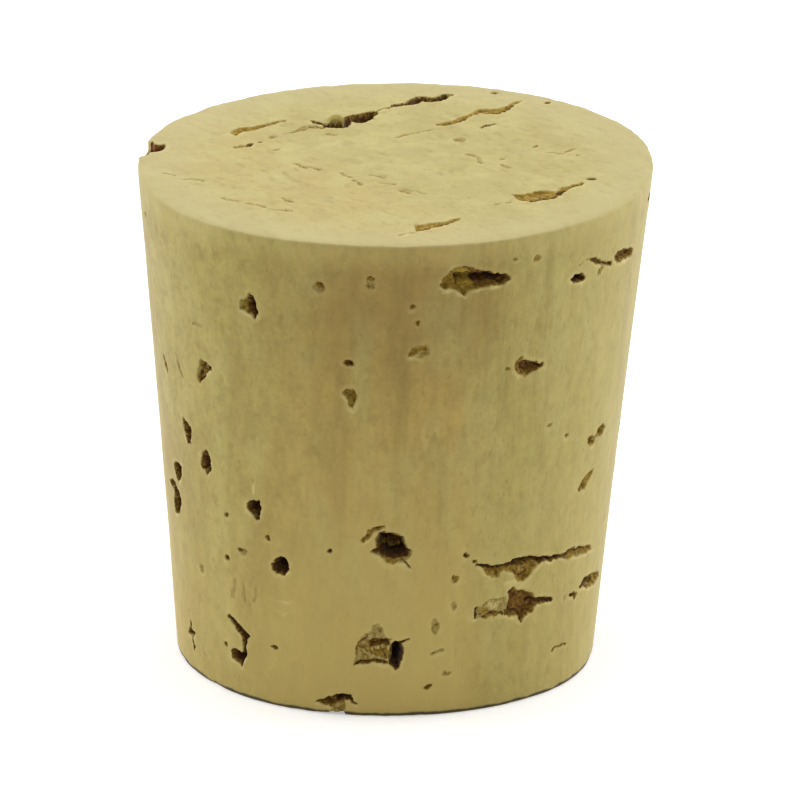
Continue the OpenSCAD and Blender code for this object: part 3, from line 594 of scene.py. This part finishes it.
# Small spots lie scattered over the sides turned away
scattered_spots, spots_in = new_tree("scattered_spots", [
    ("Geometry", "NodeSocketGeometry", None),
    ("Spots to a square metre", "NodeSocketFloat", 14000),
    ("Least spacing", "NodeSocketFloat", 3 * MM),
    ("Behind", "NodeSocketFloat", 2 * MM),
    ("From", "NodeSocketFloat", 2 * MM),
    ("Up to", "NodeSocketFloat", 38 * MM),
    ("Seed", "NodeSocketInt", 5),
    ("Material", "NodeSocketMaterial", None),
])
spot = add(scattered_spots, "ShaderNodeSeparateXYZ", {
    0: scattered_spots.nodes.new("GeometryNodeInputPosition").outputs[0]})
behind = calc(scattered_spots, "GREATER_THAN", spot.outputs[1], spots_in["Behind"])
above = calc(scattered_spots, "GREATER_THAN", spot.outputs[2], spots_in["From"])
below = calc(scattered_spots, "LESS_THAN", spot.outputs[2], spots_in["Up to"])
wanted = calc(scattered_spots, "MULTIPLY", behind, calc(
    scattered_spots, "MULTIPLY", above, below))
spread = add(scattered_spots, "GeometryNodeDistributePointsOnFaces", {
    "Mesh": spots_in["Geometry"], "Selection": wanted,
    "Distance Min": spots_in["Least spacing"],
    "Density Max": spots_in["Spots to a square metre"], "Seed": spots_in["Seed"]},
    distribute_method="POISSON")
spots = add(scattered_spots, "GeometryNodePointsToVertices", {
    "Points": spread.outputs["Points"]})
close_tree(scattered_spots, spots.outputs[0], spots_in["Material"])

SPOT_KINDS = ("scar", "fleck", "torn", "scar")
# A spot's width, height and tilt: the least of each, and what chance may add to it
SPOT_SIZES = ((0.35, 0.45), (0.3, 0.5), (0, 90))
for n, v in enumerate(grow("spots", blank, scattered_spots, {"Material": cork}).vertices):
    x = v.co.x / MM - (v.co.z - LENGTH) / MM * math.tan(LEAN)
    chance = noise.cell_vector(Vector((n, 0, 0)))
    size = [least + more * luck for (least, more), luck in zip(SPOT_SIZES, chance)]
    SIDE_PORES.append((SPOT_KINDS[n % len(SPOT_KINDS)],
                       math.degrees(math.atan2(x, -v.co.y / MM)), v.co.z / MM, oval(*size)))


FAR_AWAY = 9.0


def edge_distance(u, v, outline):
    """How far points lie outside an outline or a drawn line; less than 0 is inside."""
    nearest = np.full(len(u), FAR_AWAY)
    inside = np.zeros(len(u), bool)
    drawn = len(outline[0]) == 3
    ends = outline[1:] if drawn else outline[1:] + outline[:1]
    for a, b in zip(outline, ends):
        run, rise = b[0] - a[0], b[1] - a[1]
        t = ((u - a[0]) * run + (v - a[1]) * rise) / (run * run + rise * rise)
        t = np.clip(t, 0, 1)
        away = np.hypot(u - a[0] - t * run, v - a[1] - t * rise)
        if drawn:
            away = away - (a[2] + t * (b[2] - a[2])) / 2
        else:
            crosses = (a[1] > v) != (b[1] > v)
            inside ^= crosses & (u < run * (v - a[1]) / (rise or 1) + a[0])
        nearest = np.minimum(nearest, away)
    return np.where(inside, -nearest, nearest)


def step(low, high, value):
    """0 below low, 1 above high and a smooth rise between."""
    t = np.clip((value - low) / (high - low), 0, 1)
    return t * t * (3 - 2 * t)


def unrolled(points):
    """Angle in radians, height and radius of points on the side, in millimetres."""
    z = points[:, 2]
    x = points[:, 0] - (z - LENGTH / MM) * math.tan(LEAN)
    return np.arctan2(x, -points[:, 1]), z, np.hypot(x, points[:, 1])


# How steep a normal may stand for a point to count as on the side, or as on an end,
# and how far past its outline a pore still works on the surface
SIDE_STEEPNESS = 0.8
END_STEEPNESS = 0.6
PORE_MARGIN = 1.3


def local_places(points, normals):
    """For each pore: which points lie near it on its own face, and where."""
    angle, z, radius = unrolled(points)
    steep = normals[:, 2]

    def close(face, u, v, outline):
        reach = max(math.hypot(p[0], p[1]) for p in outline) + PORE_MARGIN
        near = np.flatnonzero(face & (np.hypot(u, v) < reach))
        return near, u[near], v[near], outline

    for kind, a, h, outline in SIDE_PORES:
        off = np.angle(np.exp(1j * (angle - math.radians(a))))
        face = (np.abs(steep) < SIDE_STEEPNESS) & (np.abs(off) < 1)
        yield kind, *close(face, radius * np.sin(off), z - h, outline)
    for way, pores in ((1, TOP_PORES), (-1, BASE_PORES)):
        face = steep * way > END_STEEPNESS
        for kind, x, y, outline in pores:
            yield kind, *close(face, points[:, 0] - x, points[:, 1] - y, outline)


def mesh_arrays(bm):
    """The places of a mesh's points in millimetres, and their normals."""
    points = np.array([v.co for v in bm.verts]) / MM
    normals = np.array([v.normal for v in bm.verts])
    return points, normals


def refine(bm, inner, outer, shallowest):
    """Splits the faces whose corners lie between two distances from a pore's edge."""
    points, normals = mesh_arrays(bm)
    wanted = np.zeros(len(points), bool)
    for kind, near, u, v, outline in local_places(points, normals):
        if KINDS[kind][0] >= shallowest:
            gap = edge_distance(u, v, outline)
            wanted[near[(gap > inner) & (gap < outer)]] = True
    bm.verts.index_update()
    edges = {e for f in bm.faces if any(wanted[v.index] for v in f.verts) for e in f.edges}
    bmesh.ops.subdivide_edges(bm, edges=list(edges), cuts=1, use_grid_fill=True)
    bm.normal_update()


shape = bmesh.new()
shape.from_mesh(blank)
shape.normal_update()
# Each round of splitting: from where to where across a pore's edge, with inside below
# 0, and the least depth of the kinds that it takes in
SPLITS = [(-FAR_AWAY, 0.5, 0), (-FAR_AWAY, 0.24, 0), (-0.2, 0.09, 0.15)]
for split in SPLITS:
    refine(shape, *split)
bmesh.ops.triangulate(shape, faces=[f for f in shape.faces if len(f.verts) > 4])


# Without a fixed seed, noise_vector would tear the edges anew on every run
noise.seed_set(5)


def drift(points, size, seed):
    """Smooth random vectors over points, changing over about size millimetres."""
    start = Vector((seed * 17.3, seed * 5.1, seed * 9.7))
    return np.array([noise.noise_vector(Vector(p) / size + start) for p in points])


def layered(points, *layers):
    """The sum of several drifts, each given as its size, its seed and its strength."""
    return sum(strength * drift(points, size, seed) for size, seed, strength in layers)


points, normals = mesh_arrays(shape)
angle, z, radius = unrolled(points)
count = len(points)
looks = {name: np.zeros(count) for name in ("hollow", "gloom", "rust", "lip")}
depth = np.zeros(count)
ragged = layered(points, (0.9, 1, 0.16), (0.4, 2, 0.13), (0.2, 8, 0.07))
crumbs = layered(points, (0.45, 3, 1), (0.22, 4, 0.6))[:, 0]
patchy = np.clip(0.7 + layered(points, (0.8, 9, 1.3))[:, 0], 0, 1.3)

# Where the lining and its shade begin and end, across a pore's edge; how dark the wall
# is beside the floor, the lining darkening further in, partly its own colour and partly
# painted shade of the hollow; and the lip's distance, width, height and how much of its
# painted highlight lies all round
LINING_EDGE = (0.06, -0.07)
SHADE_EDGE = (0.12, -0.05)
WALL_GLOOM = 0.55
LIP_AT, LIP_WIDTH, LIP_HEIGHT, LIP_ALL_ROUND = 0.15, 0.13, 0.06, 0.35
A_LITTLE_UP = 0.25

for kind, near, u, v, outline in local_places(points, normals):
    deep, wall, crumbly, cover, gloom, rust, lip = KINDS[kind]
    u, v = u + ragged[near, 0], v + ragged[near, 2]
    gap = edge_distance(u, v, outline)
    cut = deep * step(0, wall, -gap) * (1 + crumbly * crumbs[near])
    if deep < 0:
        depth[near] = np.maximum(depth[near] + cut, 0)
    else:
        depth[near] = np.maximum(depth[near], cut)
    if cover <= 0:
        bare = -cover * patchy[near] * step(0, -wall, gap)
        looks["lip"][near] = np.maximum(looks["lip"][near], bare)
        continue
    covered = cover * step(*((0, -wall) if kind == "stain" else LINING_EDGE), gap)
    looks["hollow"][near] = np.maximum(looks["hollow"][near], covered)
    inside = step(*SHADE_EDGE, gap)
    # Further in, the lining is darker: partly its own colour, partly painted shade of the hollow
    darker = WALL_GLOOM + (1 - WALL_GLOOM) * step(0, 1.5 * wall, -gap)
    for name, value in (("gloom", gloom * darker), ("rust", rust)):
        looks[name][near] += (value - looks[name][near]) * inside
    # The painted highlight on the lip is strongest where the pore lies right above it
    under = np.clip((gap - edge_distance(u, v + A_LITTLE_UP, outline)) / A_LITTLE_UP, 0, 1)
    rim = lip * (LIP_ALL_ROUND + (1 - LIP_ALL_ROUND) * under) * patchy[near]
    rim *= np.exp(-((gap - LIP_AT) / LIP_WIDTH) ** 2)
    looks["lip"][near] = np.maximum(looks["lip"][near], rim)
depth = depth - LIP_HEIGHT * looks["lip"] * step(0.3, 0, depth)

# The plug isn't quite round: angle from the front towards +X, and how far it swells
# at the large end and at the small end
SWELLING = [
    (-180, 0.05, 0.1), (-150, 0.1, 0.1), (-128, 0.45, 0.2), (-110, 0.4, 0.2),
    (-95, 0.1, 0.1), (-85, 0.1, 0.1), (-75, 0.15, 0.35), (-50, 0.4, 0.25),
    (-35, 0.25, 0.25), (-15, -0.25, -0.1), (0, -0.2, -0.1), (20, 0, 0.1), (35, 0, 0.5),
    (48, 0.15, 0.8), (58, 0.25, 0.95), (70, 0.2, 0.6), (85, 0.05, 0.1),
    (95, 0.1, 0.05), (110, 0.4, 0.2), (125, 0.35, 0.2), (150, 0.25, 0.1)]


def swelling(angle, z):
    """How far the side stands outside a true cone, smoothed round the plug."""
    angles, *ends = zip(*SWELLING)
    large, small = (sum(np.interp(np.degrees(angle) + turn, angles, end, period=360)
                        for turn in (-9, -3, 3, 9)) / 4 for end in ends)
    rise = z / (LENGTH / MM)
    return small * (1 - rise) ** 2 + large * rise ** 2


# The swelling fades towards the middle of the ends, inside this radius
FLAT_WITHIN = 15
swell = swelling(angle, z) * np.clip(radius / FLAT_WITHIN, 0, 1) ** 2
taper = math.atan((LARGE_END - SMALL_END) / 2 / LENGTH)
outward = np.column_stack([np.sin(angle) * math.cos(taper),
                           -np.cos(angle) * math.cos(taper),
                           np.full(count, -math.sin(taper))])
up_down = np.column_stack([np.zeros(count), np.zeros(count), np.sign(normals[:, 2])])
on_side = step(0.25, 0.75, 1 - np.abs(normals[:, 2]))
waves = layered(points, (6, 5, 0.03))[:, 0]
streaks = layered(np.column_stack([angle * 14, radius * 0, z / 5]), (1, 6, 0.007))[:, 0]
nicks = layered(points, (2.4, 11, 0.05), (0.7, 14, 0.04))[:, 0]

# How each edge is worn: its height, how much it is rounded everywhere, how wide the
# worn band is, and which way its end faces
EDGE_WEAR = [(LENGTH / MM, 0.03, 0.5, 1), (0, 0.0, 0.3, -1)]
girth = SMALL_END / 2 / MM + z * math.tan(taper)
for level, soft, band, up in EDGE_WEAR:
    off_edge = np.hypot(girth - radius, z - level)
    worn = np.clip(soft + nicks, 0, 1) * np.exp(-(off_edge / band) ** 2)
    points = points - outward * worn[:, None]
    points[:, 2] -= worn * up

points = points - outward * ((depth + waves + streaks) * on_side)[:, None]
points[:, 0] += np.sin(angle) * swell
points[:, 1] -= np.cos(angle) * swell
points = points - up_down * (depth * (1 - on_side))[:, None]
bumps = layered(points, (1.6, 12, 0.05), (0.8, 13, 0.03))[:, 0]
points = points - up_down * (bumps * (1 - on_side) * (z > LENGTH / MM / 2))[:, None]


# A chip is a bite taken slantwise out of an edge. Its profile gives, along the edge,
# how far in it goes and how far up or down the side. The rest of an entry is its angle
# round the plug, the end's middle, radius and height, which way the bite slants, and
# how far the lining covers it.
CHIPS = [
    (-101, 0, 20, 40, [
        (-1.6, -0.2, 0.5), (-1.4, 0.1, 0.9), (0, 0.4, 0.9), (2.3, 0.8, 0.9),
        (2.42, -0.5, 0.3)], -1, 0.2),
    (-15, -0.838, 16.5, 0, [
        (-2.4, -0.5, -0.1), (-1.8, 0.2, 0.02), (-0.4, 0.9, 0.16), (0.95, 1, 0.3),
        (1.1, 0.8, 0.3), (1.16, -0.5, -0.1)], 1, 0.5),
]
CHIP_GLOOM = 0.3
CHIP_REACH = 3


def bite(points, turn_deg, centre_x, edge_radius, level, profile, up):
    """The points with an edge pushed in along a slant, and how far each is bitten."""
    turn = math.radians(turn_deg)
    x, y = points[:, 0] - centre_x, points[:, 1]
    wobble = layered(points, (0.5, 7, 0.14))
    along = x * math.cos(turn) + y * math.sin(turn)
    inward = x * -math.sin(turn) + y * math.cos(turn) + edge_radius
    stations, reach_in, reach_up = zip(*profile)
    room = np.interp(along + wobble[:, 0], stations, reach_in) - inward
    rise = np.interp(along, stations, reach_up) - (points[:, 2] - level) * up
    deep = np.minimum(room + wobble[:, 1], rise + wobble[:, 2] * 0.5)
    here = (inward < edge_radius) & (np.abs(along) < CHIP_REACH)
    deep = np.where(here, np.maximum(deep, 0), 0)
    slant = np.array([-math.sin(turn), math.cos(turn), up])
    return points + slant * deep[:, None], step(0, 0.12, deep)


for *chip, cover in CHIPS:
    points, bitten = bite(points, *chip)
    looks["gloom"] += (CHIP_GLOOM - looks["gloom"]) * bitten * (looks["hollow"] < 0.5)
    looks["hollow"] = np.maximum(looks["hollow"], cover * bitten)

# The knot that the longest crack bends round stands proud. Its front falls away into
# the crack and keeps the crack's dark lining there as painted shade, so only what lies
# behind that is shown as wood.
KNOT = np.array([-4.7, 10.1])
KNOT_RADII = np.array([0.62, 0.9])
KNOT_TOP = 40.5
KNOT_ROOT = 38
from_knot = (points[:, :2] - KNOT) / KNOT_RADII
off_knot = np.hypot(from_knot[:, 0], from_knot[:, 1])
off_knot += 0.25 * crumbs * (off_knot < 2)
dome = np.sqrt(np.clip(1 - off_knot ** 2, 0, 1)) * (points[:, 2] > KNOT_ROOT)
points[:, 2] += (KNOT_TOP - points[:, 2]) * dome
proud = step(-0.95, -0.55, from_knot[:, 1])
looks["knot"] = step(1.3, 1, off_knot) * proud
looks["hollow"] *= 1 - step(1.1, 0.9, off_knot) * proud
looks["underside"] = step(END_STEEPNESS, 0.9, -normals[:, 2])

for v, p in zip(shape.verts, points):
    v.co = p * MM
shape.normal_update()
body_mesh = bpy.data.meshes.new("cork_body")
shape.to_mesh(body_mesh)
shape.free()
for name, values in looks.items():
    layer = body_mesh.attributes.new(name, "FLOAT", "POINT")
    layer.data.foreach_set("value", np.clip(values, 0, 1).astype(np.float32))
body_mesh.shade_smooth()
body = placed("cork_body", body_mesh)

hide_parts("stopper")
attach(body, "root")


# ==================================================================== cork
# Cut cork is a mass of tiny cells, matt and a little fuzzy. Its side is finely
# streaked along the plug, its ends are dashed with short marks across the layers
# of growth, and the lining of the pores is brown to nearly black, its dark deep inside
# partly painted shade.

# How far the layers of growth are turned round the plug, and where the warm one lies
BARK_TURN = math.radians(35)
WARM_LAYER = -10.5 * MM


def shader_group(name, inputs, outputs):
    """A shader node group with named inputs and outputs, and the sockets inside it."""
    group = bpy.data.node_groups.new(name, "ShaderNodeTree")
    for label, kind, value in inputs:
        socket = group.interface.new_socket(label, in_out="INPUT", socket_type=kind)
        socket.default_value = value
    for label, kind in outputs:
        group.interface.new_socket(label, in_out="OUTPUT", socket_type=kind)
    into = group.nodes.new("NodeGroupInput").outputs
    return group, into, group.nodes.new("NodeGroupOutput").inputs


def srgb(red, green, blue):
    """A linear colour from its sRGB values in 255ths."""
    return tuple(((c / 255 + 0.055) / 1.055) ** 2.4 for c in (red, green, blue)) + (1,)


def grain(tree, where, scale, detail=2, rough=0.5):
    """Noise from 0 to 1 round 0.5, at so many changes for each metre."""
    turned = add(tree, "ShaderNodeMapping", {"Vector": where, "Scale": scale})
    made = add(tree, "ShaderNodeTexNoise", {
        "Vector": turned.outputs[0], "Scale": 1, "Detail": detail, "Roughness": rough})
    return made.outputs["Fac"]


def blend(tree, share, first, second, mode="MIX"):
    """Two colours mixed, by a socket or a number."""
    made = add(tree, "ShaderNodeMix", data_type="RGBA", blend_type=mode)
    for index, value in ((0, share), (6, first), (7, second)):
        if isinstance(value, bpy.types.NodeSocket):
            tree.links.new(value, made.inputs[index])
        else:
            made.inputs[index].default_value = value
    return made.outputs[2]


def between(tree, value, low, high, to_low=0, to_high=1):
    """A value carried smoothly from one range to another, and clamped."""
    return add(tree, "ShaderNodeMapRange", {
        "Value": value, "From Min": low, "From Max": high, "To Min": to_low,
        "To Max": to_high}, interpolation_type="SMOOTHSTEP").outputs[0]


def weighed(tree, start, *parts):
    """A start value plus several values, each times its share."""
    for value, share in parts:
        start = calc(tree, "MULTIPLY_ADD", value, share, start)
    return start


def laid_over(tree, colour, *coats):
    """A colour with others laid over it in turn, each by its own share."""
    for share, coat in coats:
        colour = blend(tree, share, colour, coat)
    return colour


# The cut faces: the plain colour, the darker layers and marks, the paler patches and
# the warm layer, and how strongly each kind of mark shows
SIDE_CORK = {
    "Colour": srgb(172, 155, 82), "Dark": srgb(150, 127, 62), "Pale": srgb(182, 168, 98),
    "Warm": srgb(180, 152, 80), "Layers": 0.68, "Marks": 0.5, "Dashes": 0.0,
    "Mottle": 0.09, "Grain": 0.05}
# The ends are paler and greyer than the side: partly the sawn ends' own colour, partly painted
# sheen of light glancing off them
END_CORK = {
    "Colour": srgb(179, 165, 99), "Dark": srgb(150, 126, 64), "Pale": srgb(190, 178, 112),
    "Warm": srgb(186, 167, 101), "Layers": 0.2, "Marks": 0.4, "Dashes": 0.42,
    "Mottle": 0.045, "Grain": 0.01}

skin, skin_in, skin_out = shader_group("cork_skin", [
    (name, "NodeSocketFloat" if isinstance(value, float) else "NodeSocketColor", value)
    for name, value in SIDE_CORK.items()], [
    ("Colour", "NodeSocketColor"), ("Height", "NodeSocketFloat"),
    ("Warmth", "NodeSocketFloat")])
where = add(skin, "ShaderNodeMapping", {
    "Vector": skin.nodes.new("ShaderNodeTexCoord").outputs["Object"],
    "Rotation": (0, 0, -BARK_TURN)}).outputs[0]
patches = grain(skin, where, (330, 260, 120), 3)
layers = grain(skin, where, (620, 120, 40), 3, 0.55)
cells = grain(skin, where, (2600, 2600, 2600), 3, 0.6)
dents = grain(skin, where, (1300, 600, 700), 2)
mottle = grain(skin, where, (1000, 1000, 500), 3, 0.65)
spotted = between(skin, grain(skin, where, (1900, 1300, 1200), 1), 0.66, 0.78)
clusters = between(skin, grain(skin, where, (170, 170, 170), 2), 0.42, 0.58)
dashes = between(skin, grain(skin, where, (1500, 560, 700), 3), 0.56, 0.72)
dashed = calc(skin, "MULTIPLY", calc(skin, "MULTIPLY", dashes, clusters),
              skin_in["Dashes"])
depth_in_bark = add(skin, "ShaderNodeSeparateXYZ", {0: where}).outputs[0]
off_band = calc(skin, "ABSOLUTE", calc(skin, "SUBTRACT", depth_in_bark, WARM_LAYER))
warm = between(skin, off_band, 9 * MM, 3 * MM, 0, 0.9)
tone = laid_over(
    skin, skin_in["Colour"], (warm, skin_in["Warm"]),
    (between(skin, patches, 0.4, 0.7, 0, 0.8), skin_in["Pale"]),
    (between(skin, layers, 0.48, 0.75, 0, skin_in["Layers"]), skin_in["Dark"]),
    (between(skin, dents, 0.52, 0.76, 0, skin_in["Marks"]), skin_in["Dark"]),
    (calc(skin, "MULTIPLY", spotted, 0.45), skin_in["Dark"]), (dashed, skin_in["Dark"]))
shade = weighed(skin, 1, (between(skin, cells, 0.3, 0.7, -1, 1), skin_in["Grain"]),
                (between(skin, mottle, 0.3, 0.7, -1, 1), skin_in["Mottle"]))
tone = blend(skin, 1, tone, add(skin, "ShaderNodeCombineColor", {
    0: shade, 1: shade, 2: shade}).outputs[0], "MULTIPLY")
relief = weighed(skin, 0, (cells, 0.5), (layers, 0.8), (dents, -3.5), (spotted, -1),
                 (dashed, -2))
for name, value in (("Colour", tone), ("Warmth", warm), ("Height", relief)):
    skin.links.new(value, skin_out[name])

# The lining of a pore, from its palest crumbs to the dark at its bottom, that dark partly
# painted shade of the hollow
LINING = [(0.0, srgb(184, 154, 62)), (0.3, srgb(145, 118, 38)), (0.6, srgb(90, 58, 14)),
          (0.95, srgb(45, 20, 10))]
RUST = srgb(124, 58, 22)

lining, lining_in, lining_out = shader_group("pore_lining", [
    ("Gloom", "NodeSocketFloat", 0.5),
    ("Rust", "NodeSocketFloat", 0.2),
], [("Colour", "NodeSocketColor"), ("Height", "NodeSocketFloat")])
where = lining.nodes.new("ShaderNodeTexCoord").outputs["Object"]
crumb = grain(lining, where, (3000, 3000, 3000), 3, 0.6)
darkness = weighed(lining, -0.65, (crumb, 1.3), (lining_in["Gloom"], 1))
ramp = add(lining, "ShaderNodeValToRGB", {"Fac": darkness})
while len(ramp.color_ramp.elements) < len(LINING):
    ramp.color_ramp.elements.new(0.5)
for element, (at, colour) in zip(ramp.color_ramp.elements, LINING):
    element.position = at
    element.color = colour
rusty = blend(lining, calc(lining, "MULTIPLY", lining_in["Rust"], 0.6), ramp.outputs[0],
              RUST)
lining.links.new(rusty, lining_out["Colour"])
lining.links.new(crumb, lining_out["Height"])

# Tints by place: painted light on the side's right and towards its foot, a band of
# painted shade and the pale band under the large end, that end's edge, the torn edge,
# the painted highlight on the lip of a pore, and the knot's wood
RIGHT_SIDE_PAINTED_LIGHT = srgb(186, 172, 106)
LOWER_SIDE_PAINTED_LIGHT = srgb(201, 178, 100)
RIM_BAND_PAINTED_SHADE = srgb(138, 112, 50)
PALE_BAND = srgb(204, 188, 118)
END_EDGE = srgb(190, 178, 126)
TORN_EDGE = srgb(148, 128, 68)
LIP_PAINTED_HIGHLIGHT = srgb(212, 194, 124)
KNOT_WOOD = srgb(150, 132, 44)
# The foot's edge: a painted highlight along its rounded edge, and below it a painted
# contact shadow where it stands on the table
FOOT_EDGE_PAINTED_HIGHLIGHT = srgb(186, 172, 104)
FOOT_PAINTED_SHADOW = srgb(50, 38, 14)


def bare_tree(owner):
    """The node tree of a material or a world, emptied."""
    owner.use_nodes = True
    owner.node_tree.nodes.clear()
    return owner.node_tree


tree = bare_tree(cork)


def attribute(name):
    """The value that a point of the mesh carries under this name."""
    return add(tree, "ShaderNodeAttribute", attribute_name=name).outputs["Fac"]


side_skin = add(tree, "ShaderNodeGroup", SIDE_CORK, node_tree=skin).outputs
end_skin = add(tree, "ShaderNodeGroup", END_CORK, node_tree=skin).outputs
inner = add(tree, "ShaderNodeGroup", {
    "Gloom": attribute("gloom"), "Rust": attribute("rust")}, node_tree=lining).outputs

object_place = tree.nodes.new("ShaderNodeTexCoord").outputs["Object"]
place = add(tree, "ShaderNodeSeparateXYZ", {0: object_place}).outputs
level = place["Z"]
underside = attribute("underside")
on_end = calc(tree, "MAXIMUM", between(tree, level, 39.75 * MM, 39.95 * MM), underside)
# Painted light: the side grows paler towards the foot, most in the warm layer, standing in for
# light thrown up from the white table
foot = calc(tree, "MULTIPLY", between(tree, level, 34 * MM, -2 * MM, 0, 0.85), between(
    tree, side_skin["Warmth"], 0, 0.9, 0.3, 1))
# Painted shade: a browner band on the side under the large end, in the warm layer
near_rim = calc(tree, "MULTIPLY", between(tree, level, 24 * MM, 36 * MM, 0, 0.5), calc(
    tree, "MULTIPLY", between(tree, level, 39.6 * MM, 37 * MM, 0.3, 1),
    side_skin["Warmth"]))
# The side: painted light makes its right part paler, standing in for the lamp on the right
side_colour = laid_over(
    tree, side_skin["Colour"],
    (between(tree, place["X"], 5 * MM, 15 * MM, 0, 0.3), RIGHT_SIDE_PAINTED_LIGHT),
    (foot, LOWER_SIDE_PAINTED_LIGHT), (near_rim, RIM_BAND_PAINTED_SHADE),
    (between(tree, level, 37.5 * MM, 39.5 * MM, 0, 0.25), PALE_BAND))
off_middle = add(tree, "ShaderNodeVectorMath", {
    0: add(tree, "ShaderNodeVectorMath", {0: object_place, 1: (1, 1, 0)},
           operation="MULTIPLY").outputs[0]}, operation="LENGTH").outputs["Value"]
end_colour = blend(tree, between(tree, off_middle, 13 * MM, 19 * MM, 0, 0.5),
                   end_skin["Colour"], END_EDGE)
wavy = grain(tree, object_place, (600, 600, 10), 2)
off_foot = weighed(tree, -0.25 * MM, (wavy, 0.5 * MM), (level, 1), (underside, 1 * MM))
skin_colour = laid_over(
    tree, blend(tree, on_end, side_colour, end_colour),
    (between(tree, attribute("hollow"), 0.05, 0.3, 0, 0.6), TORN_EDGE),
    # The lip's pale colour is a painted highlight of light from above; the bare pale patches are
    # the cork's own
    (attribute("lip"), LIP_PAINTED_HIGHLIGHT), (attribute("knot"), KNOT_WOOD),
    # Painted highlight along the foot's rounded edge, then a painted contact shadow along its
    # lowest part
    (between(tree, off_foot, 0.60 * MM, 0.45 * MM, 0, 0.35), FOOT_EDGE_PAINTED_HIGHLIGHT),
    (between(tree, off_foot, 0.42 * MM, 0.24 * MM, 0, 0.95), FOOT_PAINTED_SHADOW))

ragged_edge = grain(tree, object_place, (2600, 2600, 2600), 3)
cover = between(tree, weighed(tree, -0.5, (ragged_edge, 1), (attribute("hollow"), 1)),
                0.3, 0.6)
colour = blend(tree, cover, skin_colour, inner["Colour"])
skin_height = add(tree, "ShaderNodeMix", {
    "Factor": on_end, 2: side_skin["Height"],
    3: calc(tree, "MULTIPLY", end_skin["Height"], 0.4)})
height = weighed(tree, skin_height.outputs[0],
                 (calc(tree, "MULTIPLY", inner["Height"], cover), 6))
bump = add(tree, "ShaderNodeBump", {"Height": height, "Distance": 0.04 * MM, "Strength": 0.55})
surface = add(tree, "ShaderNodeBsdfPrincipled", {
    "Base Color": colour, "Roughness": between(tree, cover, 0, 1, 0.6, 0.95),
    "IOR": 1.4, "Normal": bump.outputs[0], "Sheen Weight": 0.12, "Sheen Roughness": 0.4})
add(tree, "ShaderNodeOutputMaterial", {"Surface": surface.outputs[0]})
body_mesh.materials.clear()
body_mesh.materials.append(cork)


# ==================================================================== floor, lamps, camera
# The stopper stands on a white table that runs on into a white room. A wide lamp
# hangs over it and two stand behind it on the left and on the right, so that its
# front is the least lit.

FLOOR_REACH = 2.0
TABLE_PAINT = 0.88
TABLE_GLOW = 0.38
ROOM_LIGHT = 0.40

floor_mesh = bpy.data.meshes.new("floor")
floor_mesh.from_pydata([(-FLOOR_REACH, -FLOOR_REACH, 0), (FLOOR_REACH, -FLOOR_REACH, 0),
                        (FLOOR_REACH, FLOOR_REACH, 0), (-FLOOR_REACH, FLOOR_REACH, 0)],
                       [], [(0, 1, 2, 3)])
floor = placed("floor", floor_mesh)


def seen_plainly(tree):
    """1 for what the camera sees, straight or in a reflection, and 0 for other light."""
    path = tree.nodes.new("ShaderNodeLightPath").outputs
    seen = calc(tree, "MAXIMUM", path["Is Camera Ray"], path["Is Glossy Ray"])
    return calc(tree, "MAXIMUM", seen, path["Is Transmission Ray"])


white = bpy.data.materials.new("white_table")
tree = bare_tree(white)
matt = add(tree, "ShaderNodeBsdfDiffuse", {"Color": (*[TABLE_PAINT] * 3, 1)})
glow = add(tree, "ShaderNodeEmission", {
    "Color": (1, 1, 1, 1), "Strength": calc(tree, "MULTIPLY", seen_plainly(tree), TABLE_GLOW)})
both = add(tree, "ShaderNodeAddShader", {0: matt.outputs[0], 1: glow.outputs[0]})
add(tree, "ShaderNodeOutputMaterial", {"Surface": both.outputs[0]})
floor_mesh.materials.append(white)

world = bpy.data.worlds.new("white_room")
bpy.context.scene.world = world
tree = bare_tree(world)
strength = between(tree, seen_plainly(tree), 0, 1, ROOM_LIGHT, 1)
sky = add(tree, "ShaderNodeBackground", {"Color": (1, 1, 1, 1), "Strength": strength})
add(tree, "ShaderNodeOutputWorld", {"Surface": sky.outputs[0]})

# Each lamp: name, azimuth from the front towards +X, elevation, distance, width, watts
LAMPS = [
    ("overhead", 180, 82, 0.90, 0.80, 4.7),
    ("left_rear", -105, 20, 0.60, 0.40, 1.6),
    ("right_rear", 105, 20, 0.60, 0.40, 1.85),
]
for name, azimuth, elevation, distance, width, watts in LAMPS:
    lamp = bpy.data.lights.new(name, "AREA")
    lamp.size = width
    lamp.energy = watts
    holder = placed(name, lamp)
    a, e = math.radians(azimuth), math.radians(elevation)
    aim = Vector((math.sin(a) * math.cos(e), -math.cos(a) * math.cos(e), math.sin(e)))
    holder.location = Vector((0, 0, LENGTH / 2)) + aim * distance
    holder.rotation_euler = aim.to_track_quat("Z", "Y").to_euler()

CAMERA_ELEVATION = math.radians(20.88)
CAMERA_DISTANCE = 500 * MM
CAMERA_TARGET = Vector((0.34, 0, 20.11)) * MM
FOCAL_LENGTH = 284.6
SENSOR_WIDTH = 36
lens = bpy.data.cameras.new("camera")
lens.lens = FOCAL_LENGTH
lens.sensor_width = SENSOR_WIDTH
camera = placed("camera", lens)
camera.location = CAMERA_TARGET + CAMERA_DISTANCE * Vector((
    0, -math.cos(CAMERA_ELEVATION), math.sin(CAMERA_ELEVATION)))
camera.rotation_euler = (math.pi / 2 - CAMERA_ELEVATION, 0, 0)
bpy.context.scene.camera = camera
bpy.context.scene.view_settings.view_transform = "Standard"
